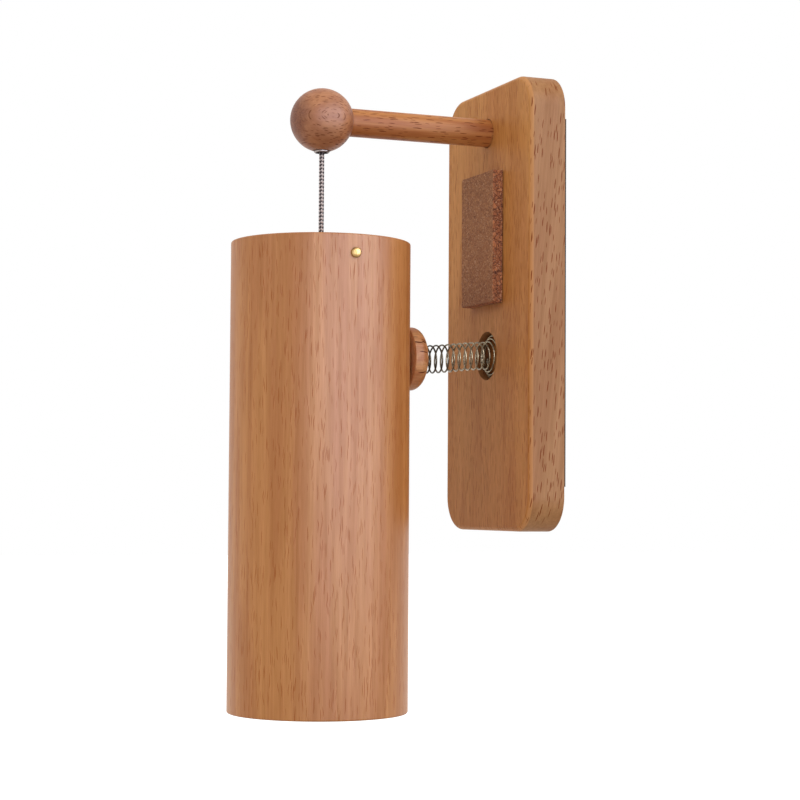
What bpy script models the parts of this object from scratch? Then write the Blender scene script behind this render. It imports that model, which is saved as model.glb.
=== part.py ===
"""Wall-mounted door chime.

A back plate carries a round arm with a ball at its end. A braided cord from the ball holds a wooden tube,
and inside the tube stand tuned rods round a striker. A wooden button on a spring sits between tube and plate.

The origin is the centre of the mounting pad's back face. +Y points into the wall and +Z is up.
Every size is in metres.
"""

import math

import bmesh
import bpy
from mathutils import Matrix, Vector

# Clearance between two pieces that seat on or in each other
SEAT_GAP = 0.0003

# Back plate and what lies on it
PLATE_WIDTH = 0.0715
PLATE_HEIGHT = 0.158
PLATE_THICKNESS = 0.0134
PLATE_CORNER_RADIUS = 0.012
PLATE_FRONT_ROUND = 0.0018
PLATE_BACK_ROUND = 0.0008
PAD_THICKNESS = 0.0008
PAD_SIDE_INSET = 0.0020
PAD_END_INSET = 0.0155
CORK_WIDTH = 0.0274
CORK_HEIGHT = 0.0468
CORK_THICKNESS = 0.0036
CORK_CORNER_RADIUS = 0.0008
CORK_FRONT_ROUND = 0.0003
CORK_BELOW_ARM = 0.0101

# Hanger arm and ball
ARM_RADIUS = 0.0049
ARM_BELOW_PLATE_TOP = 0.0161
ARM_PLATE_DEPTH = 0.0090
ARM_BALL_DEPTH = 0.0080
ARM_END_CHAMFER = 0.0005
BALL_RADIUS = 0.0111

# Cord, eyelet and knots
CORD_RADIUS = 0.00095
CORD_SHOWN = 0.0318
CORD_POINT_SPACING = 0.0040
KNOT_RADIUS = 0.0023
KNOT_ABOVE_EYELET = 0.0010
EYELET_FLANGE_RADIUS = 0.00275
EYELET_FLANGE_HEIGHT = 0.0003
EYELET_BORE_RADIUS = 0.0020
EYELET_WALL = 0.0003
EYELET_BARREL = 0.0030
EYELET_SEAT = 0.0008

# Resonator tube
TUBE_RADIUS = 0.0310
TUBE_WALL = 0.0035
TUBE_LENGTH = 0.1610
TUBE_EDGE_ROUND = 0.0006
TUBE_REBATE_DEPTH = 0.0040
TUBE_REBATE_WIDTH = 0.0012

# Cross bar and its nails
BAR_WIDTH = 0.0080
BAR_HEIGHT = 0.0060
BAR_CORD_HOLE_CLEARANCE = 0.0004
BAR_ANGLE = math.radians(2.3)
NAIL_BELOW_RIM = 0.0064
NAIL_LENGTH = 0.0120
NAIL_SHANK_RADIUS = 0.0007
NAIL_HEAD_RADIUS = 0.0018
NAIL_HEAD_HEIGHT = 0.0010

# Rods and the plate that they stand in
ROD_COUNT = 8
ROD_RADIUS = 0.0015
ROD_TO_WALL = 0.0055
ROD_SHORTEST = 0.0680
ROD_STEP = 0.0040
ROD_PLATE_THICKNESS = 0.0020

# Striker
STRIKER_TO_ROD = 0.0065
STRIKER_THICKNESS = 0.0040
STRIKER_EDGE_ROUND = 0.0008
STRIKER_BELOW_ROD_TOP = 0.0100
STRIKER_CORD_RADIUS = 0.0006
STRIKER_KNOT_RADIUS = 0.0016

# Bumper button
BUTTON_RADIUS = 0.0111
BUTTON_THICKNESS = 0.0062
BUTTON_DOME_HEIGHT = 0.0039
BUTTON_SOCKET_DEPTH = 0.0020
BUTTON_SOCKET_LIP = 0.0005
BUTTON_SAG = 0.0020

# Bumper spring and its recess in the plate
SPRING_SPAN = 0.0255
SPRING_COIL_RADIUS = 0.0048
SPRING_WIRE_RADIUS = 0.0003
SPRING_BEND_RADIUS = 0.0008
SPRING_CLOSED_TURNS = 1.0
SPRING_CLOSED_PITCH = 0.0011
SPRING_OPEN_TURNS = 11.3
SPRING_FLARE_TURNS = 3.0
SPRING_FLARE_PITCH = 0.00087
SPRING_FIRST_CREST_TURNS = 0.57
SPRING_PILOT_DEPTH = 0.0012
RECESS_RADIUS = 0.00865
RECESS_DEPTH = 0.0047
RECESS_BELOW_CORK = 0.0094

# Fineness of the meshes
TUBE_STEPS = 80
ROUND_STEPS = 40
EYELET_STEPS = 28
SMALL_STEPS = 16
POINTS_PER_CURL = 9
CURVE_POINTS = 6

# Places that follow from the sizes, along Y from the wall outwards
PLATE_BACK_Y = -(PAD_THICKNESS + SEAT_GAP)
PLATE_FRONT_Y = PLATE_BACK_Y - PLATE_THICKNESS
BUTTON_BACK_Y = PLATE_FRONT_Y - SPRING_SPAN
BUTTON_FACE_Y = BUTTON_BACK_Y - BUTTON_THICKNESS
TUBE_AXIS_Y = BUTTON_FACE_Y - SEAT_GAP - TUBE_RADIUS
ARM_PLATE_END_Y = PLATE_FRONT_Y + ARM_PLATE_DEPTH - SEAT_GAP
BALL_SOCKET_FLOOR_Y = TUBE_AXIS_Y + BALL_RADIUS - ARM_BALL_DEPTH
ARM_BALL_END_Y = BALL_SOCKET_FLOOR_Y + SEAT_GAP

# Heights that follow from the sizes
ARM_Z = PLATE_HEIGHT / 2 - ARM_BELOW_PLATE_TOP
CORK_TOP_Z = ARM_Z - ARM_RADIUS - CORK_BELOW_ARM
CORK_BOTTOM_Z = CORK_TOP_Z - CORK_HEIGHT
RECESS_Z = CORK_BOTTOM_Z - RECESS_BELOW_CORK - RECESS_RADIUS
BUTTON_Z = RECESS_Z - BUTTON_SAG
BALL_BOTTOM_Z = ARM_Z - BALL_RADIUS
CORD_PIVOT_Z = BALL_BOTTOM_Z - EYELET_FLANGE_HEIGHT / 2
TUBE_TOP_Z = BALL_BOTTOM_Z - CORD_SHOWN
TUBE_BOTTOM_Z = TUBE_TOP_Z - TUBE_LENGTH
BAR_Z = TUBE_TOP_Z - NAIL_BELOW_RIM
BAR_TOP_Z = BAR_Z + BAR_HEIGHT / 2
BAR_BOTTOM_Z = BAR_Z - BAR_HEIGHT / 2
BAR_KNOT_Z = BAR_BOTTOM_Z - SEAT_GAP - KNOT_RADIUS
STRIKER_PIVOT_Z = BAR_KNOT_Z - KNOT_RADIUS - SEAT_GAP - STRIKER_CORD_RADIUS
ROD_PLATE_TOP_Z = TUBE_BOTTOM_Z + TUBE_REBATE_DEPTH - SEAT_GAP
ROD_PLATE_BOTTOM_Z = ROD_PLATE_TOP_Z - ROD_PLATE_THICKNESS
STRIKER_TOP_Z = ROD_PLATE_TOP_Z + ROD_SHORTEST - STRIKER_BELOW_ROD_TOP
STRIKER_BOTTOM_Z = STRIKER_TOP_Z - STRIKER_THICKNESS

# Radii that follow from the sizes
TUBE_BORE_RADIUS = TUBE_RADIUS - TUBE_WALL
REBATE_RADIUS = TUBE_BORE_RADIUS + TUBE_REBATE_WIDTH
ROD_CIRCLE_RADIUS = TUBE_BORE_RADIUS - ROD_TO_WALL - ROD_RADIUS
STRIKER_RADIUS = ROD_CIRCLE_RADIUS - ROD_RADIUS - STRIKER_TO_ROD
BAR_CORD_HOLE_RADIUS = CORD_RADIUS + BAR_CORD_HOLE_CLEARANCE
EYELET_BARREL_RADIUS = EYELET_BORE_RADIUS + EYELET_WALL
BALL_BORE_RADIUS = max(EYELET_BARREL_RADIUS, KNOT_RADIUS) + SEAT_GAP
SPRING_SOCKET_RADIUS = SPRING_COIL_RADIUS + SPRING_WIRE_RADIUS + SEAT_GAP
BUTTON_NOSE_RADIUS = SPRING_SOCKET_RADIUS + BUTTON_SOCKET_LIP
SPRING_BASE_RADIUS = RECESS_RADIUS - SEAT_GAP - SPRING_WIRE_RADIUS
PILOT_RADIUS = SPRING_WIRE_RADIUS + SEAT_GAP

# How far a cutter stands out of what it cuts
CUT_OVERRUN = 0.002

BEECH = (0.50, 0.29, 0.15)
BEECH_RED = (0.44, 0.22, 0.11)
BRASS = (0.72, 0.50, 0.18)
STEEL = (0.55, 0.55, 0.57)
CORD_GREY = (0.22, 0.18, 0.18)


def clear_scene():
    for obj in list(bpy.data.objects):
        bpy.data.objects.remove(obj, do_unlink=True)


def new_collection(name):
    collection = bpy.data.collections.new(name)
    bpy.context.scene.collection.children.link(collection)
    return collection


def material(name, colour, roughness, metallic=0.0):
    made = bpy.data.materials.new(name)
    made.use_nodes = True
    shader = made.node_tree.nodes["Principled BSDF"]
    shader.inputs["Base Color"].default_value = (*colour, 1.0)
    shader.inputs["Roughness"].default_value = roughness
    shader.inputs["Metallic"].default_value = metallic
    made.diffuse_color = (*colour, 1.0)
    return made


def place(name, data, look, location=(0, 0, 0), rotation=(0, 0, 0), parent=None):
    """A new object of the chime, at a place given in its parent's axes."""
    obj = bpy.data.objects.new(name, data)
    chime.objects.link(obj)
    obj.location = location
    obj.rotation_euler = rotation
    obj.parent = parent
    if look:
        data.materials.append(look)
    return obj


def smooth(mesh, sharp_degrees=35):
    mesh.shade_smooth()
    mesh.set_sharp_from_angle(angle=math.radians(sharp_degrees))


def mesh_from(bm, name):
    mesh = bpy.data.meshes.new(name)
    bm.to_mesh(mesh)
    bm.free()
    smooth(mesh)
    return mesh


def round_edges(bm, edges, radius, steps):
    bmesh.ops.bevel(bm, geom=edges, offset=radius, segments=steps, profile=0.5, affect="EDGES")


def box_mesh(name, size, corner_radius=0.0, front_round=0.0, back_round=0.0, corner_steps=8):
    """A box round the origin, with corners rounded as seen along Y and its front and back edges rounded."""
    bm = bmesh.new()
    bmesh.ops.create_cube(bm, size=1.0)
    bmesh.ops.scale(bm, vec=Vector(size), verts=bm.verts)
    if corner_radius:
        along_y = [e for e in bm.edges if abs(e.verts[0].co.y - e.verts[1].co.y) > size[1] / 2]
        round_edges(bm, along_y, corner_radius, corner_steps)
    for side, radius in ((-1, front_round), (1, back_round)):
        if radius:
            rim = [e for e in bm.edges if all(v.co.y * side > size[1] / 2 * 0.999 for v in e.verts)]
            round_edges(bm, rim, radius, 3)
    return mesh_from(bm, name)


def cylinder_mesh(name, radius, length, steps=ROUND_STEPS, chamfer=0.0):
    """A cylinder along Z round the origin."""
    bm = bmesh.new()
    bmesh.ops.create_cone(
        bm, cap_ends=True, segments=steps, radius1=radius, radius2=radius, depth=length
    )
    if chamfer:
        rims = [e for e in bm.edges if abs(e.verts[0].co.z - e.verts[1].co.z) < length / 2]
        round_edges(bm, rims, chamfer, 1)
    return mesh_from(bm, name)


def sphere_mesh(name, radius, steps):
    bm = bmesh.new()
    bmesh.ops.create_uvsphere(bm, u_segments=steps, v_segments=steps // 2, radius=radius)
    return mesh_from(bm, name)


def turned(name, profile, look, location, rotation=(0, 0, 0), parent=None, steps=ROUND_STEPS, ring=False):
    """A shape turned about its own Z axis. The profile is (radius, height) points, from the top down the
    outside. A ring's profile closes on itself, and any other starts and ends on the axis."""
    mesh = bpy.data.meshes.new(name)
    count = len(profile)
    edges = [(i, i + 1) for i in range(count - 1)]
    if ring:
        edges.append((count - 1, 0))
    mesh.from_pydata([(radius, 0.0, height) for radius, height in profile], edges, [])
    obj = place(name, mesh, look, location, rotation, parent)
    screw = obj.modifiers.new("Turn", "SCREW")
    screw.axis = "Z"
    screw.angle = math.tau
    screw.steps = steps
    screw.render_steps = steps
    screw.use_merge_vertices = not ring
    screw.merge_threshold = 0.00001
    screw.use_smooth_shade = True
    return obj


def arc(centre, radius, start, end, points, squash=1.0):
    """(radius, height) points on an arc, from the angle start to end in degrees. squash scales its height."""
    made = []
    for i in range(points):
        angle = math.radians(start + (end - start) * i / (points - 1))
        made.append((centre[0] + radius * math.cos(angle), centre[1] + squash * radius * math.sin(angle)))
    return made


def ball_profile(radius, points):
    """A half circle from the top pole to the bottom pole, both on the axis."""
    inner = arc((0, 0), radius, 90, -90, points)[1:-1]
    return [(0, radius)] + inner + [(0, -radius)]


def cut(obj, mesh, location, rotation=(0, 0, 0), parent=None, operation="DIFFERENCE"):
    """Cuts obj with a cutter of this mesh, which stays in the scene as a hidden helper."""
    cutter = bpy.data.objects.new(f"cut_{obj.name}_{len(obj.modifiers)}", mesh)
    cutters.objects.link(cutter)
    cutter.location = location
    cutter.rotation_euler = rotation
    cutter.parent = parent
    cutter.hide_render = True
    cutter.display_type = "WIRE"
    boolean = obj.modifiers.new("Cut", "BOOLEAN")
    boolean.operation = operation
    boolean.solver = "EXACT"
    boolean.object = cutter
    return cutter


def wire(name, points, radius, look, location=(0, 0, 0), parent=None, sides=2):
    """A round wire or cord through the points, with closed ends."""
    curve = bpy.data.curves.new(name, "CURVE")
    curve.dimensions = "3D"
    spline = curve.splines.new("POLY")
    spline.points.add(len(points) - 1)
    for point, place_of in zip(spline.points, points):
        point.co = (*place_of, 1.0)
    curve.bevel_depth = radius
    curve.bevel_resolution = sides
    curve.use_fill_caps = True
    return place(name, curve, look, location, parent=parent)


def straight(length):
    """Heights down from zero, one every few cord diameters."""
    count = max(2, round(length / CORD_POINT_SPACING) + 1)
    return [-length * i / (count - 1) for i in range(count)]


def axis_empty(name, location, parent=None, rotation=(0, 0, 0)):
    """An empty on a joint's axis, which the pieces of one moving group are parented to."""
    empty = bpy.data.objects.new(name, None)
    chime.objects.link(empty)
    empty.empty_display_size = 0.01
    empty.location = location
    empty.rotation_euler = rotation
    empty.parent = parent
    return empty


# Turns a shape made along Z so that its top points out of the wall, along -Y
FACING_OUT = (math.pi / 2, 0, 0)


def make_back_plate():
    size = (PLATE_WIDTH, PLATE_THICKNESS, PLATE_HEIGHT)
    mesh = box_mesh("back_plate", size, PLATE_CORNER_RADIUS, PLATE_FRONT_ROUND, PLATE_BACK_ROUND)
    middle_y = (PLATE_FRONT_Y + PLATE_BACK_Y) / 2
    plate = place("back_plate", mesh, material("Plate beech", BEECH, 0.45), (0, middle_y, 0))
    blind_hole(plate, ARM_RADIUS + SEAT_GAP, ARM_PLATE_DEPTH, PLATE_FRONT_Y, (0, ARM_Z))
    blind_hole(plate, RECESS_RADIUS, RECESS_DEPTH, PLATE_FRONT_Y, (0, RECESS_Z))
    tail = spring_tail(SPRING_BASE_RADIUS, spring_end_angle(), RECESS_Z)
    blind_hole(plate, PILOT_RADIUS, SPRING_PILOT_DEPTH, PLATE_FRONT_Y + RECESS_DEPTH, tail, SMALL_STEPS)


def blind_hole(obj, radius, depth, mouth_y, place_xz, steps=ROUND_STEPS):
    """A hole from mouth_y into the wall side, to this depth."""
    mesh = cylinder_mesh("hole", radius, depth + CUT_OVERRUN, steps)
    centre_y = mouth_y + (depth - CUT_OVERRUN) / 2
    cut(obj, mesh, (place_xz[0], centre_y, place_xz[1]), FACING_OUT)


def make_pad():
    size = (PLATE_WIDTH - 2 * PAD_SIDE_INSET, PAD_THICKNESS, PLATE_HEIGHT - 2 * PAD_END_INSET)
    look = material("Pad foam", (0.03, 0.03, 0.03), 0.9)
    place("mounting_pad", box_mesh("mounting_pad", size), look, (0, -PAD_THICKNESS / 2, 0))


def make_cork():
    size = (CORK_WIDTH, CORK_THICKNESS, CORK_HEIGHT)
    mesh = box_mesh("cork_block", size, CORK_CORNER_RADIUS, CORK_FRONT_ROUND, corner_steps=3)
    centre = (0, PLATE_FRONT_Y - SEAT_GAP - CORK_THICKNESS / 2, (CORK_TOP_Z + CORK_BOTTOM_Z) / 2)
    place("cork_block", mesh, material("Cork", (0.30, 0.15, 0.08), 0.85), centre)


def make_arm_and_ball():
    length = ARM_PLATE_END_Y - ARM_BALL_END_Y
    mesh = cylinder_mesh("hanger_arm", ARM_RADIUS, length, ROUND_STEPS, ARM_END_CHAMFER)
    centre = (0, (ARM_PLATE_END_Y + ARM_BALL_END_Y) / 2, ARM_Z)
    place("hanger_arm", mesh, material("Arm beech", BEECH_RED, 0.45), centre, FACING_OUT)

    ball_look = material("Ball beech", BEECH_RED, 0.4)
    ball = turned("arm_ball", ball_profile(BALL_RADIUS, ROUND_STEPS // 2), ball_look, (0, TUBE_AXIS_Y, ARM_Z))
    socket = cylinder_mesh("socket", ARM_RADIUS + SEAT_GAP, ARM_BALL_DEPTH + CUT_OVERRUN)
    cut(ball, socket, (0, BALL_SOCKET_FLOOR_Y + (ARM_BALL_DEPTH + CUT_OVERRUN) / 2, ARM_Z), FACING_OUT)
    bore_top = knot_centre_z() + KNOT_RADIUS + SEAT_GAP
    bore = cylinder_mesh("bore", BALL_BORE_RADIUS, bore_top - BALL_BOTTOM_Z + CUT_OVERRUN, ROUND_STEPS)
    cut(ball, bore, (0, TUBE_AXIS_Y, (bore_top + BALL_BOTTOM_Z - CUT_OVERRUN) / 2))
    seat = cylinder_mesh("seat", EYELET_FLANGE_RADIUS + SEAT_GAP, EYELET_SEAT + CUT_OVERRUN, ROUND_STEPS)
    cut(ball, seat, (0, TUBE_AXIS_Y, BALL_BOTTOM_Z + (EYELET_SEAT - CUT_OVERRUN) / 2))


def knot_centre_z():
    """The stopper knot sits on the eyelet's barrel, inside the ball."""
    return BALL_BOTTOM_Z + EYELET_BARREL + KNOT_ABOVE_EYELET + SEAT_GAP


def make_eyelet():
    top = BALL_BOTTOM_Z + EYELET_SEAT - SEAT_GAP
    lip = (EYELET_FLANGE_RADIUS - EYELET_BORE_RADIUS) / 2
    bottom = BALL_BOTTOM_Z - EYELET_FLANGE_HEIGHT
    centre = (EYELET_BORE_RADIUS + lip, bottom + lip)
    profile = [
        (EYELET_BORE_RADIUS, BALL_BOTTOM_Z + EYELET_BARREL),
        (EYELET_BARREL_RADIUS, BALL_BOTTOM_Z + EYELET_BARREL),
        (EYELET_BARREL_RADIUS, top),
        (EYELET_FLANGE_RADIUS, top),
    ]
    profile += arc(centre, lip, 0, -180, CURVE_POINTS + 1)
    turned("cord_eyelet", profile, material("Eyelet steel", STEEL, 0.25, 1.0), (0, TUBE_AXIS_Y, 0),
           steps=EYELET_STEPS, ring=True)


def make_cord_in_ball():
    """The stopper knot and the short stretch of cord from it down to where the cord bends."""
    foot = CORD_PIVOT_Z + CORD_RADIUS + SEAT_GAP
    knot_z = knot_centre_z()
    neck_angle = -math.degrees(math.acos(CORD_RADIUS / KNOT_RADIUS))
    profile = [(0, knot_z + KNOT_RADIUS)]
    profile += arc((0, knot_z), KNOT_RADIUS, 90, neck_angle, CURVE_POINTS + 2)[1:]
    profile += [(CORD_RADIUS, foot), (0, foot)]
    turned("stopper_knot", profile, cord_look, (0, TUBE_AXIS_Y, 0), steps=SMALL_STEPS)


def make_cord_bend(name, height, radius):
    """A bead of cord round the point where the cord bends. Two hinges cross in it."""
    turned(name, ball_profile(radius, CURVE_POINTS + 2), cord_look, (0, TUBE_AXIS_Y, height), steps=SMALL_STEPS)


def make_suspension():
    """What hangs between the eyelet and the tube. Each piece's origin is where it turns."""
    make_cord_bend("upper_cord_bend", CORD_PIVOT_Z, CORD_RADIUS)
    make_cord_bend("lower_cord_bend", BAR_TOP_Z, CORD_RADIUS)
    reach = CORD_RADIUS + SEAT_GAP
    points = [(0, 0, z - reach) for z in straight(CORD_PIVOT_Z - BAR_TOP_Z - 2 * reach)]
    wire("hanging_cord", points, CORD_RADIUS, cord_look, (0, TUBE_AXIS_Y, CORD_PIVOT_Z))

    knot_z = BAR_KNOT_Z - BAR_TOP_Z
    neck_angle = math.degrees(math.acos(CORD_RADIUS / KNOT_RADIUS))
    profile = [(0, -reach), (CORD_RADIUS, -reach)]
    profile += arc((0, knot_z), KNOT_RADIUS, neck_angle, -90, CURVE_POINTS + 2)[:-1]
    profile += [(0, knot_z - KNOT_RADIUS)]
    turned("bar_knot", profile, cord_look, (0, TUBE_AXIS_Y, BAR_TOP_Z), steps=SMALL_STEPS)


def make_tube():
    """The tube, with a rebate at its foot for the rod plate and a hole for each nail."""
    r = TUBE_EDGE_ROUND
    outer_top = arc((TUBE_RADIUS - r, TUBE_TOP_Z - r), r, 90, 0, CURVE_POINTS // 2 + 1)
    outer_foot = arc((TUBE_RADIUS - r, TUBE_BOTTOM_Z + r), r, 0, -90, CURVE_POINTS // 2 + 1)
    profile = outer_top + outer_foot
    profile += [
        (REBATE_RADIUS, TUBE_BOTTOM_Z),
        (REBATE_RADIUS, TUBE_BOTTOM_Z + TUBE_REBATE_DEPTH),
        (TUBE_BORE_RADIUS, TUBE_BOTTOM_Z + TUBE_REBATE_DEPTH),
        (TUBE_BORE_RADIUS, TUBE_TOP_Z),
    ]
    profile = [(radius, height - BAR_TOP_Z) for radius, height in profile]
    tube = turned("resonator_tube", profile, material("Tube beech", BEECH, 0.4), (0, 0, 0), parent=tube_axis,
                  steps=TUBE_STEPS, ring=True)
    across = 2 * TUBE_RADIUS + CUT_OVERRUN
    hole = cylinder_mesh("nail_holes", NAIL_SHANK_RADIUS + SEAT_GAP, across, SMALL_STEPS)
    cut(tube, hole, (0, 0, BAR_Z - BAR_TOP_Z), (0, math.pi / 2, 0), tube_axis)


def make_cross_bar():
    """A bar across the tube's mouth, its ends rounded to the bore."""
    size = (2 * TUBE_BORE_RADIUS, BAR_WIDTH, BAR_HEIGHT)
    bar = place("cross_bar", box_mesh("cross_bar", size), material("Bar beech", BEECH, 0.5),
                (0, 0, BAR_Z - BAR_TOP_Z), parent=tube_axis)
    through = BAR_HEIGHT + CUT_OVERRUN
    round_ends = cylinder_mesh("round_ends", TUBE_BORE_RADIUS - SEAT_GAP, through, TUBE_STEPS)
    cut(bar, round_ends, (0, 0, BAR_Z - BAR_TOP_Z), parent=tube_axis, operation="INTERSECT")
    cord_hole = cylinder_mesh("cord_hole", BAR_CORD_HOLE_RADIUS, through, SMALL_STEPS)
    cut(bar, cord_hole, (0, 0, BAR_Z - BAR_TOP_Z), parent=tube_axis)
    tip = nail_head_seat() - NAIL_LENGTH
    depth = TUBE_BORE_RADIUS - tip + SEAT_GAP
    for side in (-1, 1):
        hole = cylinder_mesh("nail_hole", NAIL_SHANK_RADIUS + SEAT_GAP, depth, SMALL_STEPS)
        centre_x = side * (TUBE_BORE_RADIUS - depth / 2)
        cut(bar, hole, (centre_x, 0, BAR_Z - BAR_TOP_Z), (0, math.pi / 2, 0), tube_axis)


def nail_head_seat():
    """How far from the tube's axis the underside of a nail's head lies."""
    return TUBE_RADIUS + SEAT_GAP


def make_nails():
    """Two dome-head nails through the tube's wall into the bar's ends."""
    dome = arc((0, 0), NAIL_HEAD_RADIUS, 90, 0, CURVE_POINTS, NAIL_HEAD_HEIGHT / NAIL_HEAD_RADIUS)
    profile = [(0, NAIL_HEAD_HEIGHT)] + dome[1:]
    profile += [
        (NAIL_SHANK_RADIUS, 0),
        (NAIL_SHANK_RADIUS, 2 * NAIL_SHANK_RADIUS - NAIL_LENGTH),
        (0, -NAIL_LENGTH),
    ]
    look = material("Nail brass", BRASS, 0.25, 1.0)
    for name, side in (("brass_nail_near", 1), ("brass_nail_far", -1)):
        seat = (side * nail_head_seat(), 0, BAR_Z - BAR_TOP_Z)
        turned(name, profile, look, seat, (0, side * math.pi / 2, 0), tube_axis, steps=SMALL_STEPS)


def make_rod_plate_and_rods():
    look = material("Rod steel", STEEL, 0.3, 1.0)
    disc = cylinder_mesh("rod_plate", REBATE_RADIUS - SEAT_GAP, ROD_PLATE_THICKNESS, TUBE_STEPS)
    middle = (ROD_PLATE_TOP_Z + ROD_PLATE_BOTTOM_Z) / 2 - BAR_TOP_Z
    plate = place("rod_plate", disc, look, (0, 0, middle), parent=tube_axis)
    for index in range(ROD_COUNT):
        angle = math.tau * (index + 0.5) / ROD_COUNT
        x = ROD_CIRCLE_RADIUS * math.cos(angle)
        y = ROD_CIRCLE_RADIUS * math.sin(angle)
        through = ROD_PLATE_THICKNESS + CUT_OVERRUN
        hole = cylinder_mesh("rod_hole", ROD_RADIUS + SEAT_GAP, through, SMALL_STEPS)
        cut(plate, hole, (x, y, middle), parent=tube_axis)
        length = ROD_SHORTEST + ROD_STEP * index + ROD_PLATE_THICKNESS
        mesh = cylinder_mesh(f"chime_rod_{index + 1}", ROD_RADIUS, length, SMALL_STEPS)
        place(f"chime_rod_{index + 1}", mesh, look, (x, y, ROD_PLATE_BOTTOM_Z + length / 2 - BAR_TOP_Z),
              parent=tube_axis)


def make_striker():
    """The striker's cord, disc and knot. Their origin is where the cord bends under the bar's knot."""
    make_cord_bend("striker_cord_bend", STRIKER_PIVOT_Z, STRIKER_CORD_RADIUS)
    reach = STRIKER_CORD_RADIUS + SEAT_GAP
    foot = STRIKER_BOTTOM_Z - SEAT_GAP - STRIKER_PIVOT_Z
    points = [(0, 0, z - reach) for z in straight(-foot - reach)]
    wire("striker_cord", points, STRIKER_CORD_RADIUS, cord_look, parent=striker_axis)

    hole = STRIKER_CORD_RADIUS + SEAT_GAP
    top = STRIKER_TOP_Z - STRIKER_PIVOT_Z
    bottom = STRIKER_BOTTOM_Z - STRIKER_PIVOT_Z
    shoulder = STRIKER_RADIUS - STRIKER_EDGE_ROUND
    profile = [(hole, top)]
    profile += arc((shoulder, top - STRIKER_EDGE_ROUND), STRIKER_EDGE_ROUND, 90, 0, CURVE_POINTS // 2)
    profile += arc((shoulder, bottom + STRIKER_EDGE_ROUND), STRIKER_EDGE_ROUND, 0, -90, CURVE_POINTS // 2)
    profile += [(hole, bottom)]
    turned("striker_disc", profile, material("Striker beech", BEECH, 0.5), (0, 0, 0), parent=striker_axis,
           ring=True)
    turned("striker_knot", ball_profile(STRIKER_KNOT_RADIUS, CURVE_POINTS + 2), cord_look,
           (0, 0, foot - SEAT_GAP - STRIKER_KNOT_RADIUS), parent=striker_axis, steps=SMALL_STEPS)


def make_button():
    """The bumper button, a dome with its flat face to the tube and a socket for the spring in its nose."""
    rim_depth = BUTTON_THICKNESS - BUTTON_DOME_HEIGHT
    flare = BUTTON_RADIUS - BUTTON_NOSE_RADIUS
    squash = BUTTON_DOME_HEIGHT / flare
    profile = [(0, rim_depth), (BUTTON_RADIUS, rim_depth)]
    profile += arc((BUTTON_NOSE_RADIUS, 0), flare, 0, -90, CURVE_POINTS + 2, squash)
    profile += [(SPRING_SOCKET_RADIUS, -BUTTON_DOME_HEIGHT)]
    profile += [(SPRING_SOCKET_RADIUS, BUTTON_SOCKET_DEPTH - BUTTON_DOME_HEIGHT)]
    profile += [(0, BUTTON_SOCKET_DEPTH - BUTTON_DOME_HEIGHT)]
    button = turned("bumper_button", profile, material("Button beech", BEECH_RED, 0.45),
                    (0, BUTTON_BACK_Y - BUTTON_DOME_HEIGHT, BUTTON_Z), FACING_OUT)
    tail = spring_tail(SPRING_COIL_RADIUS, spring_start_angle(), BUTTON_Z)
    pilot = cylinder_mesh("pilot", PILOT_RADIUS, SPRING_PILOT_DEPTH + CUT_OVERRUN / 2, SMALL_STEPS)
    floor_y = BUTTON_BACK_Y - BUTTON_SOCKET_DEPTH
    cut(button, pilot, (tail[0], floor_y - (SPRING_PILOT_DEPTH - CUT_OVERRUN / 2) / 2, tail[1]), FACING_OUT)


def spring_lengths():
    """Axial lengths of the spring's closed, open, flared and base turns, in order from the button."""
    total = BUTTON_SOCKET_DEPTH + SPRING_SPAN + RECESS_DEPTH - 2 * SPRING_BEND_RADIUS
    closed = SPRING_CLOSED_TURNS * SPRING_CLOSED_PITCH
    flare = SPRING_FLARE_TURNS * SPRING_FLARE_PITCH
    return closed, total - 2 * closed - flare, flare, closed


def spring_start_angle():
    """The angle of the wire's tail in the button, measured from straight up towards +X."""
    bend = SPRING_BEND_RADIUS / SPRING_COIL_RADIUS
    return -math.tau * (SPRING_FIRST_CREST_TURNS + SPRING_CLOSED_TURNS) - bend


def spring_end_angle():
    """The angle of the wire's tail in the plate."""
    turns = SPRING_CLOSED_TURNS * 2 + SPRING_OPEN_TURNS + SPRING_FLARE_TURNS
    bends = SPRING_BEND_RADIUS / SPRING_COIL_RADIUS + SPRING_BEND_RADIUS / SPRING_BASE_RADIUS
    return spring_start_angle() + math.tau * turns + bends


def spring_tail(radius, angle, centre_z):
    """X and Z of a tail of the spring."""
    return radius * math.sin(angle), centre_z + radius * math.cos(angle)


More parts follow.
